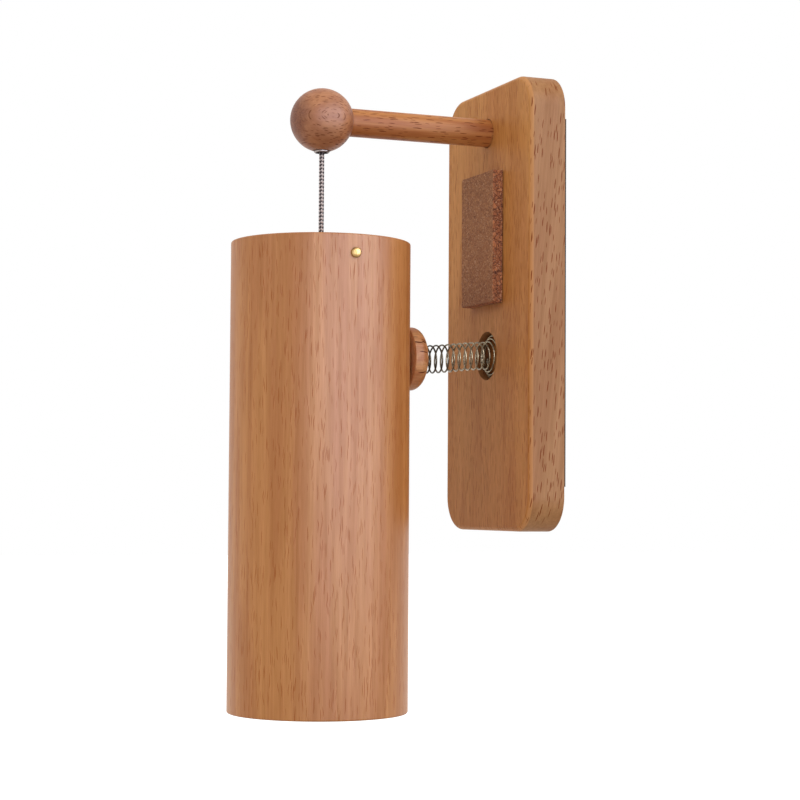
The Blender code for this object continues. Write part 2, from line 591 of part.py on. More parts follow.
def spring_route():
    """The wire's route as (angle, y, coil radius), from the tail in the button to the tail in the plate."""
    bend = SPRING_BEND_RADIUS
    y = BUTTON_BACK_Y - BUTTON_SOCKET_DEPTH
    angle = spring_start_angle()
    route = [(angle, y - SPRING_PILOT_DEPTH + SEAT_GAP, SPRING_COIL_RADIUS)]
    steps = 4
    for i in range(steps):
        turn = math.pi / 2 * i / steps
        route.append((angle + bend * (1 - math.cos(turn)) / SPRING_COIL_RADIUS, y + bend * math.sin(turn),
                      SPRING_COIL_RADIUS))
    angle += bend / SPRING_COIL_RADIUS
    y += bend
    closed, opened, flare, base = spring_lengths()
    sections = (
        (SPRING_CLOSED_TURNS, closed, SPRING_COIL_RADIUS, SPRING_COIL_RADIUS),
        (SPRING_OPEN_TURNS, opened, SPRING_COIL_RADIUS, SPRING_COIL_RADIUS),
        (SPRING_FLARE_TURNS, flare, SPRING_COIL_RADIUS, SPRING_BASE_RADIUS),
        (SPRING_CLOSED_TURNS, base, SPRING_BASE_RADIUS, SPRING_BASE_RADIUS),
    )
    for turns, length, radius, next_radius in sections:
        count = max(1, round(turns * POINTS_PER_CURL))
        for i in range(count):
            share = i / count
            route.append((angle + math.tau * turns * share, y + length * share,
                          radius + (next_radius - radius) * share))
        angle += math.tau * turns
        y += length
    for i in range(steps + 1):
        turn = math.pi / 2 * i / steps
        route.append((angle + bend * math.sin(turn) / SPRING_BASE_RADIUS, y + bend * (1 - math.cos(turn)),
                      SPRING_BASE_RADIUS))
    angle += bend / SPRING_BASE_RADIUS
    y += bend
    route.append((angle, y + SPRING_PILOT_DEPTH - SEAT_GAP, SPRING_BASE_RADIUS))
    return route


def spring_points():
    """The wire's points. Between button and plate the spring's middle rises smoothly by the button's sag."""
    points = []
    for angle, y, radius in spring_route():
        share = min(1.0, max(0.0, (y - BUTTON_BACK_Y) / SPRING_SPAN))
        eased = share * share * (3 - 2 * share)
        middle_z = BUTTON_Z + BUTTON_SAG * eased
        points.append((radius * math.sin(angle), y, middle_z + radius * math.cos(angle)))
    return points


def least_gap(points, radius, apart):
    """The least clear distance of a wire to itself, between places more than apart along it."""
    fine = []
    travelled = 0.0
    for a, b in zip(points, points[1:]):
        start, step = Vector(a), Vector(b) - Vector(a)
        for share in (0.0, 0.25, 0.5, 0.75):
            fine.append((travelled + share * step.length, start + share * step))
        travelled += step.length
    least = math.inf
    for i, (here, p) in enumerate(fine):
        for there, q in fine[i + 1:]:
            if there - here > apart:
                least = min(least, (p - q).length)
    return least - 2 * radius


def make_spring():
    points = spring_points()
    look = material("Spring bronze", (0.30, 0.25, 0.18), 0.35, 1.0)
    wire("bumper_spring", points, SPRING_WIRE_RADIUS, look, sides=1)
    gap = least_gap(points, SPRING_WIRE_RADIUS, math.pi * SPRING_COIL_RADIUS)
    print(f"bumper spring: least gap to itself {gap * 1000:.2f} mm")


clear_scene()
chime = new_collection("Door chime")
cutters = new_collection("Cutters")
cord_look = material("Braided cord", CORD_GREY, 0.8)
tube_axis = axis_empty("tube_axis", (0, TUBE_AXIS_Y, BAR_TOP_Z), rotation=(0, 0, BAR_ANGLE))
striker_axis = axis_empty("striker_axis", (0, TUBE_AXIS_Y, STRIKER_PIVOT_Z))

make_back_plate()
make_pad()
make_cork()
make_arm_and_ball()
make_eyelet()
make_cord_in_ball()
make_suspension()
make_tube()
make_cross_bar()
make_nails()
make_rod_plate_and_rods()
make_striker()
make_button()
make_spring()
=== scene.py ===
"""Looks of a wall-mounted door chime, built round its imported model.

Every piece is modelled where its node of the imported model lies. +Y points into the wall and +Z is up.
Sizes are in metres, and the sizes inside materials are in millimetres.
"""

import math

import bmesh
import bpy
from mathutils import Euler, Matrix, Vector, noise


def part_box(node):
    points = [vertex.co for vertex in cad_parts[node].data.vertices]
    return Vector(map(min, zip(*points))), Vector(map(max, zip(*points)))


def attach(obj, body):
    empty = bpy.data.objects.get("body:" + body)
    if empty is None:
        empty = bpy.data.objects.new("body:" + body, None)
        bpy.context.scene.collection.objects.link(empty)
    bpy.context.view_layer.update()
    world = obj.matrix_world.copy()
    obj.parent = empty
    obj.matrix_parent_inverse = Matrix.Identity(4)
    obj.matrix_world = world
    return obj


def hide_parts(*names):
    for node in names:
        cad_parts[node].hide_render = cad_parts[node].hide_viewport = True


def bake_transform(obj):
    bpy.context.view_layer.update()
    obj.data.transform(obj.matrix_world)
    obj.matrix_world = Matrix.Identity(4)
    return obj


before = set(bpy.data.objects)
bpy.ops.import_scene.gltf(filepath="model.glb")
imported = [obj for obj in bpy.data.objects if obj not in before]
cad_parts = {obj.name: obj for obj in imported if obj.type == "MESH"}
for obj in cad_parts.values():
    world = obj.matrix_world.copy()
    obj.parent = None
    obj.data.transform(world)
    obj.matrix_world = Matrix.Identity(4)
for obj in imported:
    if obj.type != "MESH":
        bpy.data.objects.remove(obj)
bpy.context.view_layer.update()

# Camera, from the perspective of the photograph
CAMERA_PLACE = Vector((0.6614, -0.3165, -0.0681))
CAMERA_AZIMUTH = math.radians(67.88)
CAMERA_ELEVATION = math.radians(2.78)
CAMERA_ROLL = math.radians(0.36)
CAMERA_FOCAL_PIXELS = 2043.0
IMAGE_PIXELS = 800
SENSOR_WIDTH = 36.0
CAMERA_NEAR = 0.01

# Lights, white surroundings and floor
LIGHT_TARGET = Vector((0, -0.06, -0.03))
SURROUND_STRENGTH = 0.92
FLOOR_HALF_SIZE = 6.0
FLOOR_BELOW_TUBE = 0.12
FLOOR_GLOW = 0.37
FAR_FLOOR_GLOW = 0.80
FLOOR_GLOW_REACH_MM = (160, 700)

# Clearance between pieces that seat on or in each other, as in the model
SEAT_GAP = 0.0003

# How far a cutter reaches past the surface that it opens
CUT_OVERRUN = 0.002

# Plate, arm, ball and cork
PLATE_CORNER_RADIUS = 0.012
PLATE_FRONT_ROUND = 0.0018
PLATE_BACK_ROUND = 0.0008
ARM_PLATE_DEPTH = 0.0090
ARM_END_CHAMFER = 0.0005
ARM_BALL_DEPTH = 0.0080
CORK_CORNER_RADIUS = 0.0008
CORK_EDGE_ROUND = 0.0003
CORK_CRUMB_DEPTH = 0.00018
CORK_FACE_CRUMB_DEPTH = 0.000045
CORK_CRUMBS_PER_METRE = 1100
CORK_FINE_CRUMBS_PER_METRE = 2600
CORK_SIDES_FROM = 0.97
CORK_GRID = 0.0005
RECESS_RADIUS = 0.00865
RECESS_DEPTH = 0.0047

# Tube, cross bar, rods and striker
TUBE_WALL = 0.0035
TUBE_EDGE_ROUND = 0.0006
TUBE_REBATE_DEPTH = 0.0040
TUBE_REBATE_WIDTH = 0.0012
BAR_ANGLE = math.radians(2.3)
BAR_WIDTH = 0.0080
BAR_EDGE_ROUND = 0.0006
BAR_CORD_HOLE_RADIUS = 0.00135
NAIL_SHANK_RADIUS = 0.0007
NAIL_HEAD_RADIUS = 0.0018
NAIL_HEAD_HEIGHT = 0.0010
NAIL_LENGTH = 0.0120
ROD_RADIUS = 0.0015
ROD_END_CHAMFER = 0.0002
STRIKER_EDGE_ROUND = 0.0008

# Cord and eyelet
CORD_RADIUS = 0.00095
CORD_STRANDS = 4
CORD_LAY = 0.0051
STRAND_WIDTH = 0.00074
STRAND_THICKNESS = 0.00034
POINTS_PER_WAVE = 12
EYELET_FLANGE_HEIGHT = 0.0003
EYELET_BORE_RADIUS = 0.0020
EYELET_WALL = 0.0003
EYELET_SEAT = 0.0008
EYELET_RIM_THICKNESS = 0.0002
EYELET_RIM_CHAMFER = 0.0001
STRIKER_CORD_RADIUS = 0.0006
STRIKER_CORD_STRANDS = 3
STRIKER_CORD_LAY = 0.0032
STRIKER_STRAND_SHARE = 0.46
STRIKER_POINTS_PER_LAY = 16

# The share of its thickness that a strand rises and dips, and of that rise that the core lies deeper
STRAND_RISE_SHARE = 0.42
CORE_DEPTH_SHARE = 0.6

# Knots, with sizes as shares of the knot's radius. The strand's are half its width and height.
KNOT_CORE_SHARE = 0.72
KNOT_TRACK_SHARE = 0.84
KNOT_STRAND_WIDTH_SHARE = 0.22
KNOT_STRAND_HEIGHT_SHARE = 0.16
KNOT_SWINGS = 9
KNOT_TURNS = 5
KNOT_STEPS = 260

# Bumper button and spring
BUTTON_DOME_HEIGHT = 0.0039
BUTTON_SOCKET_DEPTH = 0.0020
BUTTON_SOCKET_LIP = 0.0005
BUTTON_EDGE_ROUND = 0.0003
BUTTON_SAG = 0.0020
SPRING_COIL_RADIUS = 0.0048
SPRING_WIRE_RADIUS = 0.0003
SPRING_BEND_RADIUS = 0.0008
SPRING_CLOSED_TURNS = 1.0
SPRING_CLOSED_PITCH = 0.0011
SPRING_OPEN_TURNS = 11.3
SPRING_FLARE_TURNS = 3.0
SPRING_FLARE_PITCH = 0.00087
SPRING_FIRST_CREST_TURNS = 0.57
SPRING_PILOT_DEPTH = 0.0012
SPRING_POINTS_PER_CURL = 40

# Fineness of the round pieces
TUBE_STEPS = 192
ROUND_STEPS = 96
SMALL_STEPS = 48
EDGE_STEPS = 8
PLATE_CORNER_STEPS = 16
SMALL_EDGE_STEPS = 4

# Tolerances for points on an axis or a flat side
ON_AXIS = 1e-9
ON_SIDE = 1e-5
NEARLY_ALL = 0.999


# Places and sizes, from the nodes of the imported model


def middle(node):
    low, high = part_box(node)
    return (low + high) / 2


def radius_of(node):
    """Half the width of a node along X."""
    low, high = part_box(node)
    return (high.x - low.x) / 2


def upright_at(place, height=0.0):
    """A matrix that puts a shape made round Z on the upright line through a place."""
    return Matrix.Translation((place.x, place.y, height))


tube_low, tube_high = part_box("resonator_tube")
TUBE_RADIUS = radius_of("resonator_tube")
TUBE_AXIS = middle("resonator_tube")
TUBE_BORE_RADIUS = TUBE_RADIUS - TUBE_WALL
plate_low, plate_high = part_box("back_plate")
arm_low, arm_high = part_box("hanger_arm")
ARM_RADIUS = radius_of("hanger_arm")
ARM_CENTRE = middle("hanger_arm")
BALL_RADIUS = radius_of("arm_ball")
BALL_CENTRE = Vector((0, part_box("arm_ball")[0].y + BALL_RADIUS, ARM_CENTRE.z))
EYELET_RADIUS = radius_of("cord_eyelet")
bar_low, bar_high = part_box("cross_bar")
BAR_CENTRE = Vector((TUBE_AXIS.x, TUBE_AXIS.y, middle("cross_bar").z))
button_low, button_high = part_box("bumper_button")
BUTTON_RADIUS = radius_of("bumper_button")
BUTTON_CENTRE = middle("bumper_button")
CORD_PIVOT = middle("upper_cord_bend")
BAR_MOUTH = middle("lower_cord_bend")
RECESS_Z = BUTTON_CENTRE.z + BUTTON_SAG
SPRING_SPAN = plate_low.y - button_high.y
SPRING_SOCKET_RADIUS = SPRING_COIL_RADIUS + SPRING_WIRE_RADIUS + SEAT_GAP
SPRING_BASE_RADIUS = RECESS_RADIUS - SEAT_GAP - SPRING_WIRE_RADIUS
BUTTON_NOSE_RADIUS = SPRING_SOCKET_RADIUS + BUTTON_SOCKET_LIP
PILOT_RADIUS = SPRING_WIRE_RADIUS + SEAT_GAP
INTO_WALL = Vector((0, 1, 0))
AT_TUBE_AXIS = upright_at(TUBE_AXIS)
AT_CORD = upright_at(CORD_PIVOT)


# Mesh helpers


def linked(name, data):
    """A new object in the scene."""
    obj = bpy.data.objects.new(name, data)
    bpy.context.scene.collection.objects.link(obj)
    return obj


def piece(name, mesh, look, body, node):
    """A piece of the visual model that rides on a body, if one is given, and stands for a node."""
    obj = linked(name, mesh)
    for one in look if isinstance(look, (list, tuple)) else [look]:
        mesh.materials.append(one)
    if body:
        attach(obj, body)
    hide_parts(node)
    return obj


def shade(mesh, sharp_degrees=40):
    mesh.shade_smooth()
    mesh.set_sharp_from_angle(angle=math.radians(sharp_degrees))


def arc(centre, radius, start, end, steps, squash=1.0):
    """(radius, height) points on an arc from the angle start to end, in degrees, flattened by squash."""
    made = []
    for i in range(steps + 1):
        angle = math.radians(start + (end - start) * i / steps)
        made.append((centre[0] + radius * math.cos(angle), centre[1] + squash * radius * math.sin(angle)))
    return made


def as_mesh(bm, name):
    """A mesh of what bm holds, which is freed."""
    mesh = bpy.data.meshes.new(name)
    bm.to_mesh(mesh)
    bm.free()
    return mesh


def revolve(name, profile, steps, ring=False):
    """A mesh turned about Z. A ring's profile closes on itself, and any other starts and ends on the axis."""
    bm = bmesh.new()
    angles = [math.tau * i / steps for i in range(steps)]
    rows = []
    for radius, height in profile:
        if radius < ON_AXIS:
            rows.append([bm.verts.new((0, 0, height))])
            continue
        rows.append([bm.verts.new((radius * math.cos(a), radius * math.sin(a), height)) for a in angles])
    pairs = list(zip(rows, rows[1:]))
    if ring:
        pairs.append((rows[-1], rows[0]))
    for above, below in pairs:
        for i in range(steps):
            j = (i + 1) % steps
            if len(above) == 1:
                bm.faces.new((above[0], below[i], below[j]))
            elif len(below) == 1:
                bm.faces.new((above[i], below[0], above[j]))
            else:
                bm.faces.new((above[i], below[i], below[j], above[j]))
    bmesh.ops.recalc_face_normals(bm, faces=bm.faces)
    mesh = as_mesh(bm, name)
    shade(mesh)
    return mesh


def facing(place, way):
    """A matrix that puts a shape made along Z at a place and turns its top that way."""
    return Matrix.Translation(place) @ way.to_track_quat("Z", "Y").to_matrix().to_4x4()


def moved(mesh, matrix):
    mesh.transform(matrix)
    return mesh


def chamfered(radius, low, high, chamfer):
    """The profile of a solid cylinder with chamfered ends."""
    top = [(0, high), (radius - chamfer, high), (radius, high - chamfer)]
    return top + [(radius, low + chamfer), (radius - chamfer, low), (0, low)]


def cylinder(radius, low, high, steps=SMALL_STEPS):
    """A plain cutter along Z, from the height low to high."""
    return revolve("cutter", [(0, high), (radius, high), (radius, low), (0, low)], steps)


def combined(mesh, cutters, operation="DIFFERENCE"):
    """The mesh after exact Booleans with the cutters, which are removed."""
    base = linked("base", mesh)
    helpers = [linked("helper", cutter) for cutter in cutters]
    for helper in helpers:
        boolean = base.modifiers.new("Cut", "BOOLEAN")
        boolean.operation = operation
        boolean.solver = "EXACT"
        boolean.object = helper
    evaluated = base.evaluated_get(bpy.context.evaluated_depsgraph_get())
    made = bpy.data.meshes.new_from_object(evaluated)
    for helper in [base, *helpers]:
        bpy.data.objects.remove(helper, do_unlink=True)
    made.materials.clear()
    shade(made)
    return made


def soften(bm, edges, radius, steps):
    bmesh.ops.bevel(bm, geom=edges, offset=radius, segments=steps, profile=0.5, affect="EDGES")


def cuboid(size):
    bm = bmesh.new()
    bmesh.ops.create_cube(bm, size=1.0)
    bmesh.ops.scale(bm, vec=size, verts=bm.verts)
    return bm


def rounded_box(name, low, high, corner_radius, front_round, back_round, corner_steps):
    """A box with corners rounded as seen along Y, and its front and back edges rounded."""
    size = high - low
    bm = cuboid(size)
    along_y = [e for e in bm.edges if abs(e.verts[0].co.y - e.verts[1].co.y) > size.y / 2]
    soften(bm, along_y, corner_radius, corner_steps)
    for side, radius in ((-1, front_round), (1, back_round)):
        if radius:
            rim = [e for e in bm.edges if all(v.co.y * side > size.y / 2 * NEARLY_ALL for v in e.verts)]
            soften(bm, rim, radius, EDGE_STEPS)
    mesh = moved(as_mesh(bm, name), Matrix.Translation((low + high) / 2))
    shade(mesh)
    return mesh


def sweep(bm, points, half_width, half_height, sides, outward=None, slot=0):
    """A closed tube of elliptical section along the points. outward gives each point's height direction."""
    count = len(points)
    normal = None
    rows = []
    for i, point in enumerate(points):
        ahead = points[min(i + 1, count - 1)]
        behind = points[max(i - 1, 0)]
        along = (ahead - behind).normalized()
        if outward:
            normal = outward[i]
        elif normal is None:
            normal = along.orthogonal()
        normal = (normal - along * normal.dot(along)).normalized()
        across = along.cross(normal)
        ring = []
        for k in range(sides):
            angle = math.tau * k / sides
            offset = across * (half_width * math.cos(angle)) + normal * (half_height * math.sin(angle))
            ring.append(bm.verts.new(point + offset))
        rows.append(ring)
    for row, following in zip(rows, rows[1:]):
        for k in range(sides):
            m = (k + 1) % sides
            bm.faces.new((row[k], row[m], following[m], following[k])).material_index = slot
    bm.faces.new(list(reversed(rows[0]))).material_index = slot
    bm.faces.new(rows[-1]).material_index = slot


def finished(bm, name):
    """A smooth mesh of swept strands."""
    bmesh.ops.recalc_face_normals(bm, faces=bm.faces)
    mesh = as_mesh(bm, name)
    mesh.shade_smooth()
    return mesh


# Materials

# Turns that bring the grain of a piece to the Z axis of its material
ALONG_Z = (0, 0, 0)
ALONG_Y = (math.radians(-90), 0, 0)
ALONG_X = (0, math.radians(-90), 0)
LEANING = (math.radians(5), 0, 0)


class Look:
    """A material and short calls for its nodes."""

    def __init__(self, name, **shader_values):
        self.material = bpy.data.materials.new(name)
        self.material.use_nodes = True
        self.tree = self.material.node_tree
        self.shader = self.tree.nodes["Principled BSDF"]
        self.set(self.shader, {key.replace("_", " "): value for key, value in shader_values.items()})

    def set(self, node, inputs):
        for key, value in inputs.items():
            if isinstance(value, bpy.types.NodeSocket):
                self.tree.links.new(value, node.inputs[key])
            else:
                node.inputs[key].default_value = value

    def node(self, kind, inputs=None, output=0, **properties):
        """Adds a node and returns one of its outputs."""
        made = self.tree.nodes.new("ShaderNode" + kind)
        for key, value in properties.items():
            setattr(made, key, value)
        self.set(made, inputs or {})
        return made.outputs[output]

    def place_mm(self, offset=(0, 0, 0), turn=(0, 0, 0)):
        """The piece's own place in millimetres, turned so that the grain runs along Z."""
        inputs = {"Vector": self.node("TexCoord", output="Object"), "Scale": (1000, 1000, 1000)}
        return self.node("Mapping", inputs | {"Rotation": turn, "Location": offset})

    def stretched(self, place, sizes):
        """The place measured in cells of these sizes, in millimetres."""
        return self.vector("MULTIPLY", place, [1 / size for size in sizes])

    def noise(self, place, sizes, detail=2.0, roughness=0.5, output="Fac"):
        inputs = {"Scale": 1.0, "Detail": detail, "Roughness": roughness}
        return self.node("TexNoise", inputs | {"Vector": self.stretched(place, sizes)}, output=output)

    def cells(self, vector, output="Distance", **properties):
        """Random cells, each about one unit of the vector wide."""
        return self.node("TexVoronoi", {"Vector": vector, "Scale": 1.0}, output=output, **properties)

    def vector(self, operation, a, b):
        return self.node("VectorMath", {0: a, 1: b}, operation=operation)

    def parts(self, vector):
        """The three parts of a vector."""
        return self.node("SeparateXYZ", {0: vector}).node.outputs[:3]

    def shifted(self, place, sizes, reach):
        """The place pushed about by slow noise, up to about half of reach each way."""
        push = self.vector("SUBTRACT", self.noise(place, sizes, 1.0, 0.5, "Color"), (0.5, 0.5, 0.5))
        return self.vector("ADD", place, self.vector("MULTIPLY", push, reach))

    def remap(self, value, low, high, to_low=0.0, to_high=1.0, smooth=False):
        inputs = {"Value": value, "From Min": low, "From Max": high, "To Min": to_low, "To Max": to_high}
        return self.node("MapRange", inputs, interpolation_type="SMOOTHSTEP" if smooth else "LINEAR")

    def math(self, operation, a, b=0.0):
        return self.node("Math", {0: a, 1: b}, operation=operation)

    def times(self, a, b):
        return self.math("MULTIPLY", a, b)

    def reach(self, a, b):
        """The length of a flat vector with the parts a and b."""
        return self.math("SQRT", self.math("ADD", self.math("POWER", a, 2.0), self.math("POWER", b, 2.0)))

    def mix(self, share, a, b, blend="MIX"):
        """A colour mixed from two, each a colour or a node's output."""
        a, b = (colour if isinstance(colour, bpy.types.NodeSocket) else (*colour, 1.0) for colour in (a, b))
        return self.node("Mix", {0: share, 6: a, 7: b}, output=2, data_type="RGBA", blend_type=blend)

    def bump(self, height, distance_mm, strength):
        normal = self.node("Bump", {"Height": height, "Distance": distance_mm / 1000, "Strength": strength})
        self.set(self.shader, {"Normal": normal})

    def colour(self, value):
        self.set(self.shader, {"Base Color": value})

    def roughness(self, value):
        self.set(self.shader, {"Roughness": value})


def linear(red, green, blue):
    """A colour written as it shows on screen, from 0 to 255, as the shader wants it."""
    made = []
    for value in (red, green, blue):
        share = value / 255
        made.append(share / 12.92 if share <= 0.04045 else ((share + 0.055) / 1.055) ** 2.4)
    return tuple(made)


def flecks(look, across, along, cell, share, size, wander=1.0):
    """Short dashes on a surface laid flat, one at most in each cell, as a mask from 0 to 1.

    share is the share of cells that hold one, and size the half width of the longest, in cells.
    """
    flat = look.node("CombineXYZ", {0: across, 1: along})
    cells = look.stretched(look.shifted(flat, (3.0, 5.0, 1.0), (wander, 1.5 * wander, 0.0)), (*cell, 1.0))
    distance = look.cells(cells, voronoi_dimensions="2D")
    draw = look.parts(look.cells(cells, "Color", voronoi_dimensions="2D"))[0]
    there = look.remap(draw, 1.0 - share, 1.0 - share + 0.02, 0.0, size * 0.5)
    longer = look.remap(draw, 1.0 - share, 1.0, 0.0, size * 0.5)
    reach = look.math("ADD", there, longer)
    return look.remap(look.math("SUBTRACT", reach, distance), 0.0, 0.07, smooth=True)


def faded(look, mask, end_on, low, high, left=0.0):
    """The mask, which fades to a share that is left where the surface turns across the grain."""
    return look.times(mask, look.remap(end_on, low, high, 1.0, left, smooth=True))


def turned_dashes(look, place, end_on, dashes, radius):
    """Dashes round the axis of a turned piece."""
    x, y, z = look.parts(place)
    round_way = look.times(look.math("ARCTAN2", y, x), radius)
    return faded(look, flecks(look, round_way, z, *dashes), end_on, 0.60, 0.95)


def ball_dashes(look, place, end_on, dashes):
    """Dashes in arcs round a ball's near pole."""
    x, y, z = look.parts(place)
    oval = look.reach(y, look.times(z, 0.5))
    return faded(look, flecks(look, oval, z, *dashes, wander=0.6), end_on, 0.55, 0.90, left=0.2)


def board_dashes(look, place, normal, front_dashes, side_dashes):
    """Dashes on a board's front and on its sides, none on its ends."""
    x, y, z = look.parts(place)
    front = flecks(look, x, z, *front_dashes, wander=0.4)
    side = flecks(look, y, z, *side_dashes, wander=0.5)
    on_side = look.remap(look.math("ABSOLUTE", normal[0]), 0.45, 0.75)
    front = look.times(front, look.remap(on_side, 0.0, 1.0, 0.65, 0.0))
    mask = look.math("ADD", front, look.times(side, on_side))
    return faded(look, mask, look.math("ABSOLUTE", normal[2]), 0.60, 0.95)


def painted_board_light(look, colour, normal, rim_shade_and_sheen, painted_edge_highlight):
    """The colour with painted shade and sheen on a board's rim, and a painted highlight on its front edge."""
    facing_room = look.times(normal[1], -1.0)
    # Painted shade and sheen: the rim is tinted darker and cooler than the front.
    painted_rim_shade = look.remap(facing_room, 0.15, 0.50, 1.0, 0.0, smooth=True)
    colour = look.mix(painted_rim_shade, colour, look.mix(1.0, colour, rim_shade_and_sheen, "MULTIPLY"))
    # Painted highlight: a paler colour on the rounded front edge, where the light catches it.
    edge = look.times(look.remap(facing_room, 0.10, 0.45, smooth=True),
                      look.remap(facing_room, 0.80, 0.99, 1.0, 0.0, smooth=True))
    return look.mix(look.times(edge, 0.45), colour, painted_edge_highlight)


def beech(name, light, warm, dash_colour, turn=ALONG_Z, centre=Vector(), lies="round", radius=0.0,
          band=(7.0, 7.0, 90.0), cell=(0.6, 6.5), share=0.5, size=0.36, strength=0.5,
          side_cell=(0.9, 7.5), rim_shade_and_sheen=None, painted_edge_highlight=None, streak=0.06, gloss=0.42, shine=0.4,
          end_cover=0.0, painted_end_light=None):
    """Oiled beech in millimetres. Broad bands, fine fibres and the dark dashes of rays lie along the grain.

    lies says how the dashes are laid: round a turned piece of the radius, on a ball, or on a board.
    cell, share and size are those of flecks, strength is how far dash_colour covers, and a board's sides have
    side_cell. A board's rim takes a tint of painted shade and painted sheen, and its rounded front edge
    a colour of painted highlight. The end grain is covered, as far as the end share says, by dash_colour
    or else by a colour of painted light, which the button's face is given.
    """
    look = Look(name, Specular_IOR_Level=shine)
    place = look.place_mm(-1000 * (Euler(turn).to_matrix() @ Vector(centre)), turn)
    normal = look.parts(look.node("TexCoord", output="Normal"))
    broad = look.noise(place, band)
    colour = look.mix(look.remap(broad, 0.38, 0.62, smooth=True), light, warm)

    fibre = look.noise(place, (0.30, 0.30, 8.0), 3.0, 0.6)
    strips = look.noise(place, (1.1, 1.1, 45.0))
    tone = look.times(look.remap(fibre, 0.3, 0.7, 1.0 - streak, 1.0 + streak * 0.8),
                      look.remap(strips, 0.3, 0.7, 1.0 - streak, 1.0 + streak * 0.8))
    colour = look.mix(1.0, colour, look.node("CombineXYZ", {0: tone, 1: tone, 2: tone}), "MULTIPLY")

    dashes = (cell, share, size)
    end_on = look.math("ABSOLUTE", normal[2 if turn == ALONG_Z else 1])
    if lies == "round":
        mask = turned_dashes(look, place, end_on, dashes, radius)
    elif lies == "ball":
        mask = ball_dashes(look, place, end_on, dashes)
    else:
        mask = board_dashes(look, place, normal, dashes, (side_cell, share, size))
        # A board's rim takes painted shade and sheen, and its rounded front edge a painted highlight.
        if painted_edge_highlight:
            colour = painted_board_light(look, colour, normal, rim_shade_and_sheen, painted_edge_highlight)
    colour = look.mix(look.times(mask, strength), colour, dash_colour)
    # The end grain: darker with dash_colour, or on the button's face paler with painted light over its shade.
    if end_cover:
        mottle = look.noise(place, (0.5, 0.5, 0.5), 3.0, 0.6)
        end = look.remap(end_on, 0.50, 1.0, 0.0, end_cover, smooth=True)
        end = look.times(end, look.remap(mottle, 0.3, 0.7, 0.6, 1.4))
        colour = look.mix(end, colour, painted_end_light or dash_colour)
    look.colour(colour)

    look.roughness(look.remap(fibre, 0.3, 0.7, gloss - 0.04, gloss + 0.06))
    sheen = look.times(look.remap(tone, 0.88, 1.12, 0.7 * shine, 1.3 * shine),
                       look.remap(mask, 0.0, 1.0, 1.0, 0.3))
    look.set(look.shader, {"Specular IOR Level": sheen})
    look.bump(look.math("SUBTRACT", look.times(fibre, 0.5), look.times(mask, 0.5)), 0.04, 0.6)
    return look.material


def cork(name, granule, pale, deep, seam_strength, small_share):
    """Pressed cork: packed granules of unlike browns with dark seams and pits."""
    look = Look(name, Roughness=0.85, Specular_IOR_Level=0.25)
    place = look.shifted(look.place_mm(), (0.8, 0.8, 0.8), (0.9, 0.9, 0.9))
    granules = look.stretched(place, (granule, granule, granule))
    draw = look.parts(look.cells(granules, "Color"))[0]
    seam = look.cells(granules, feature="DISTANCE_TO_EDGE")
    small_draw = look.parts(look.cells(look.stretched(place, (0.40, 0.40, 0.40)), "Color"))[0]
    mid = tuple((a + b) / 2 for a, b in zip(pale, deep))
    colour = look.mix(draw, mid, pale)
    colour = look.mix(look.remap(small_draw, 1.0 - small_share, 1.0, 0.0, 0.85), colour, deep)
    colour = look.mix(look.remap(small_draw, 0.16, 0.02, 0.0, 0.55), colour, linear(206, 160, 124))
    dark_seam = look.remap(seam, 0.10, 0.0, 0.0, seam_strength, smooth=True)
    look.colour(look.mix(dark_seam, colour, linear(66, 34, 20)))
    grain = look.noise(place, (0.2, 0.2, 0.2), 3.0)
    look.bump(look.math("ADD", look.remap(seam, 0.0, 0.16), look.times(grain, 0.5)), 0.10, 0.8)
    return look.material


def metal(name, bright, dull, roughness, cells=(2.0, 2.0, 2.0), painted_shade_from=None):
    """Metal whose colour and gloss drift a little. The last argument gives two y, in mm, of painted shade."""
    look = Look(name, Metallic=1.0)
    place = look.place_mm()
    drift = look.noise(place, cells, 4.0, 0.6)
    colour = look.mix(look.remap(drift, 0.35, 0.68), bright, dull)
    if painted_shade_from:
        # Painted shade, darkening the metal towards the second y.
        dark = look.remap(look.parts(place)[1], *painted_shade_from, 0.0, 0.85, smooth=True)
        colour = look.mix(dark, colour, linear(46, 38, 32))
    look.colour(colour)
    look.roughness(look.remap(drift, 0.3, 0.7, roughness * 0.8, roughness * 1.35))
    look.bump(look.noise(place, (0.12, 0.12, 0.12)), 0.004, 0.5)
    return look.material


def yarn(name, light, dark):
    """Spun fibre of one strand."""
    look = Look(name, Roughness=0.8, Specular_IOR_Level=0.3, Sheen_Weight=0.25, Sheen_Roughness=0.5)
    fibres = look.noise(look.place_mm(), (0.09, 0.09, 0.30), 3.0, 0.65)
    look.colour(look.mix(look.remap(fibres, 0.3, 0.7), dark, light))
    look.bump(fibres, 0.03, 0.7)
    return look.material


def foam(name):
    """Closed-cell foam of the mounting pad."""
    look = Look(name, Roughness=0.92, Specular_IOR_Level=0.2)
    place = look.place_mm()
    cells = look.cells(look.stretched(place, (0.35, 0.35, 0.35)))
    broad = look.noise(place, (6, 6, 6), 3.0)
    colour = look.mix(look.remap(cells, 0.1, 0.6), linear(30, 29, 29), linear(54, 52, 52))
    look.colour(look.mix(look.remap(broad, 0.3, 0.7, 0.0, 0.4), colour, linear(62, 59, 58)))
    look.bump(cells, 0.06, 0.7)
    return look.material


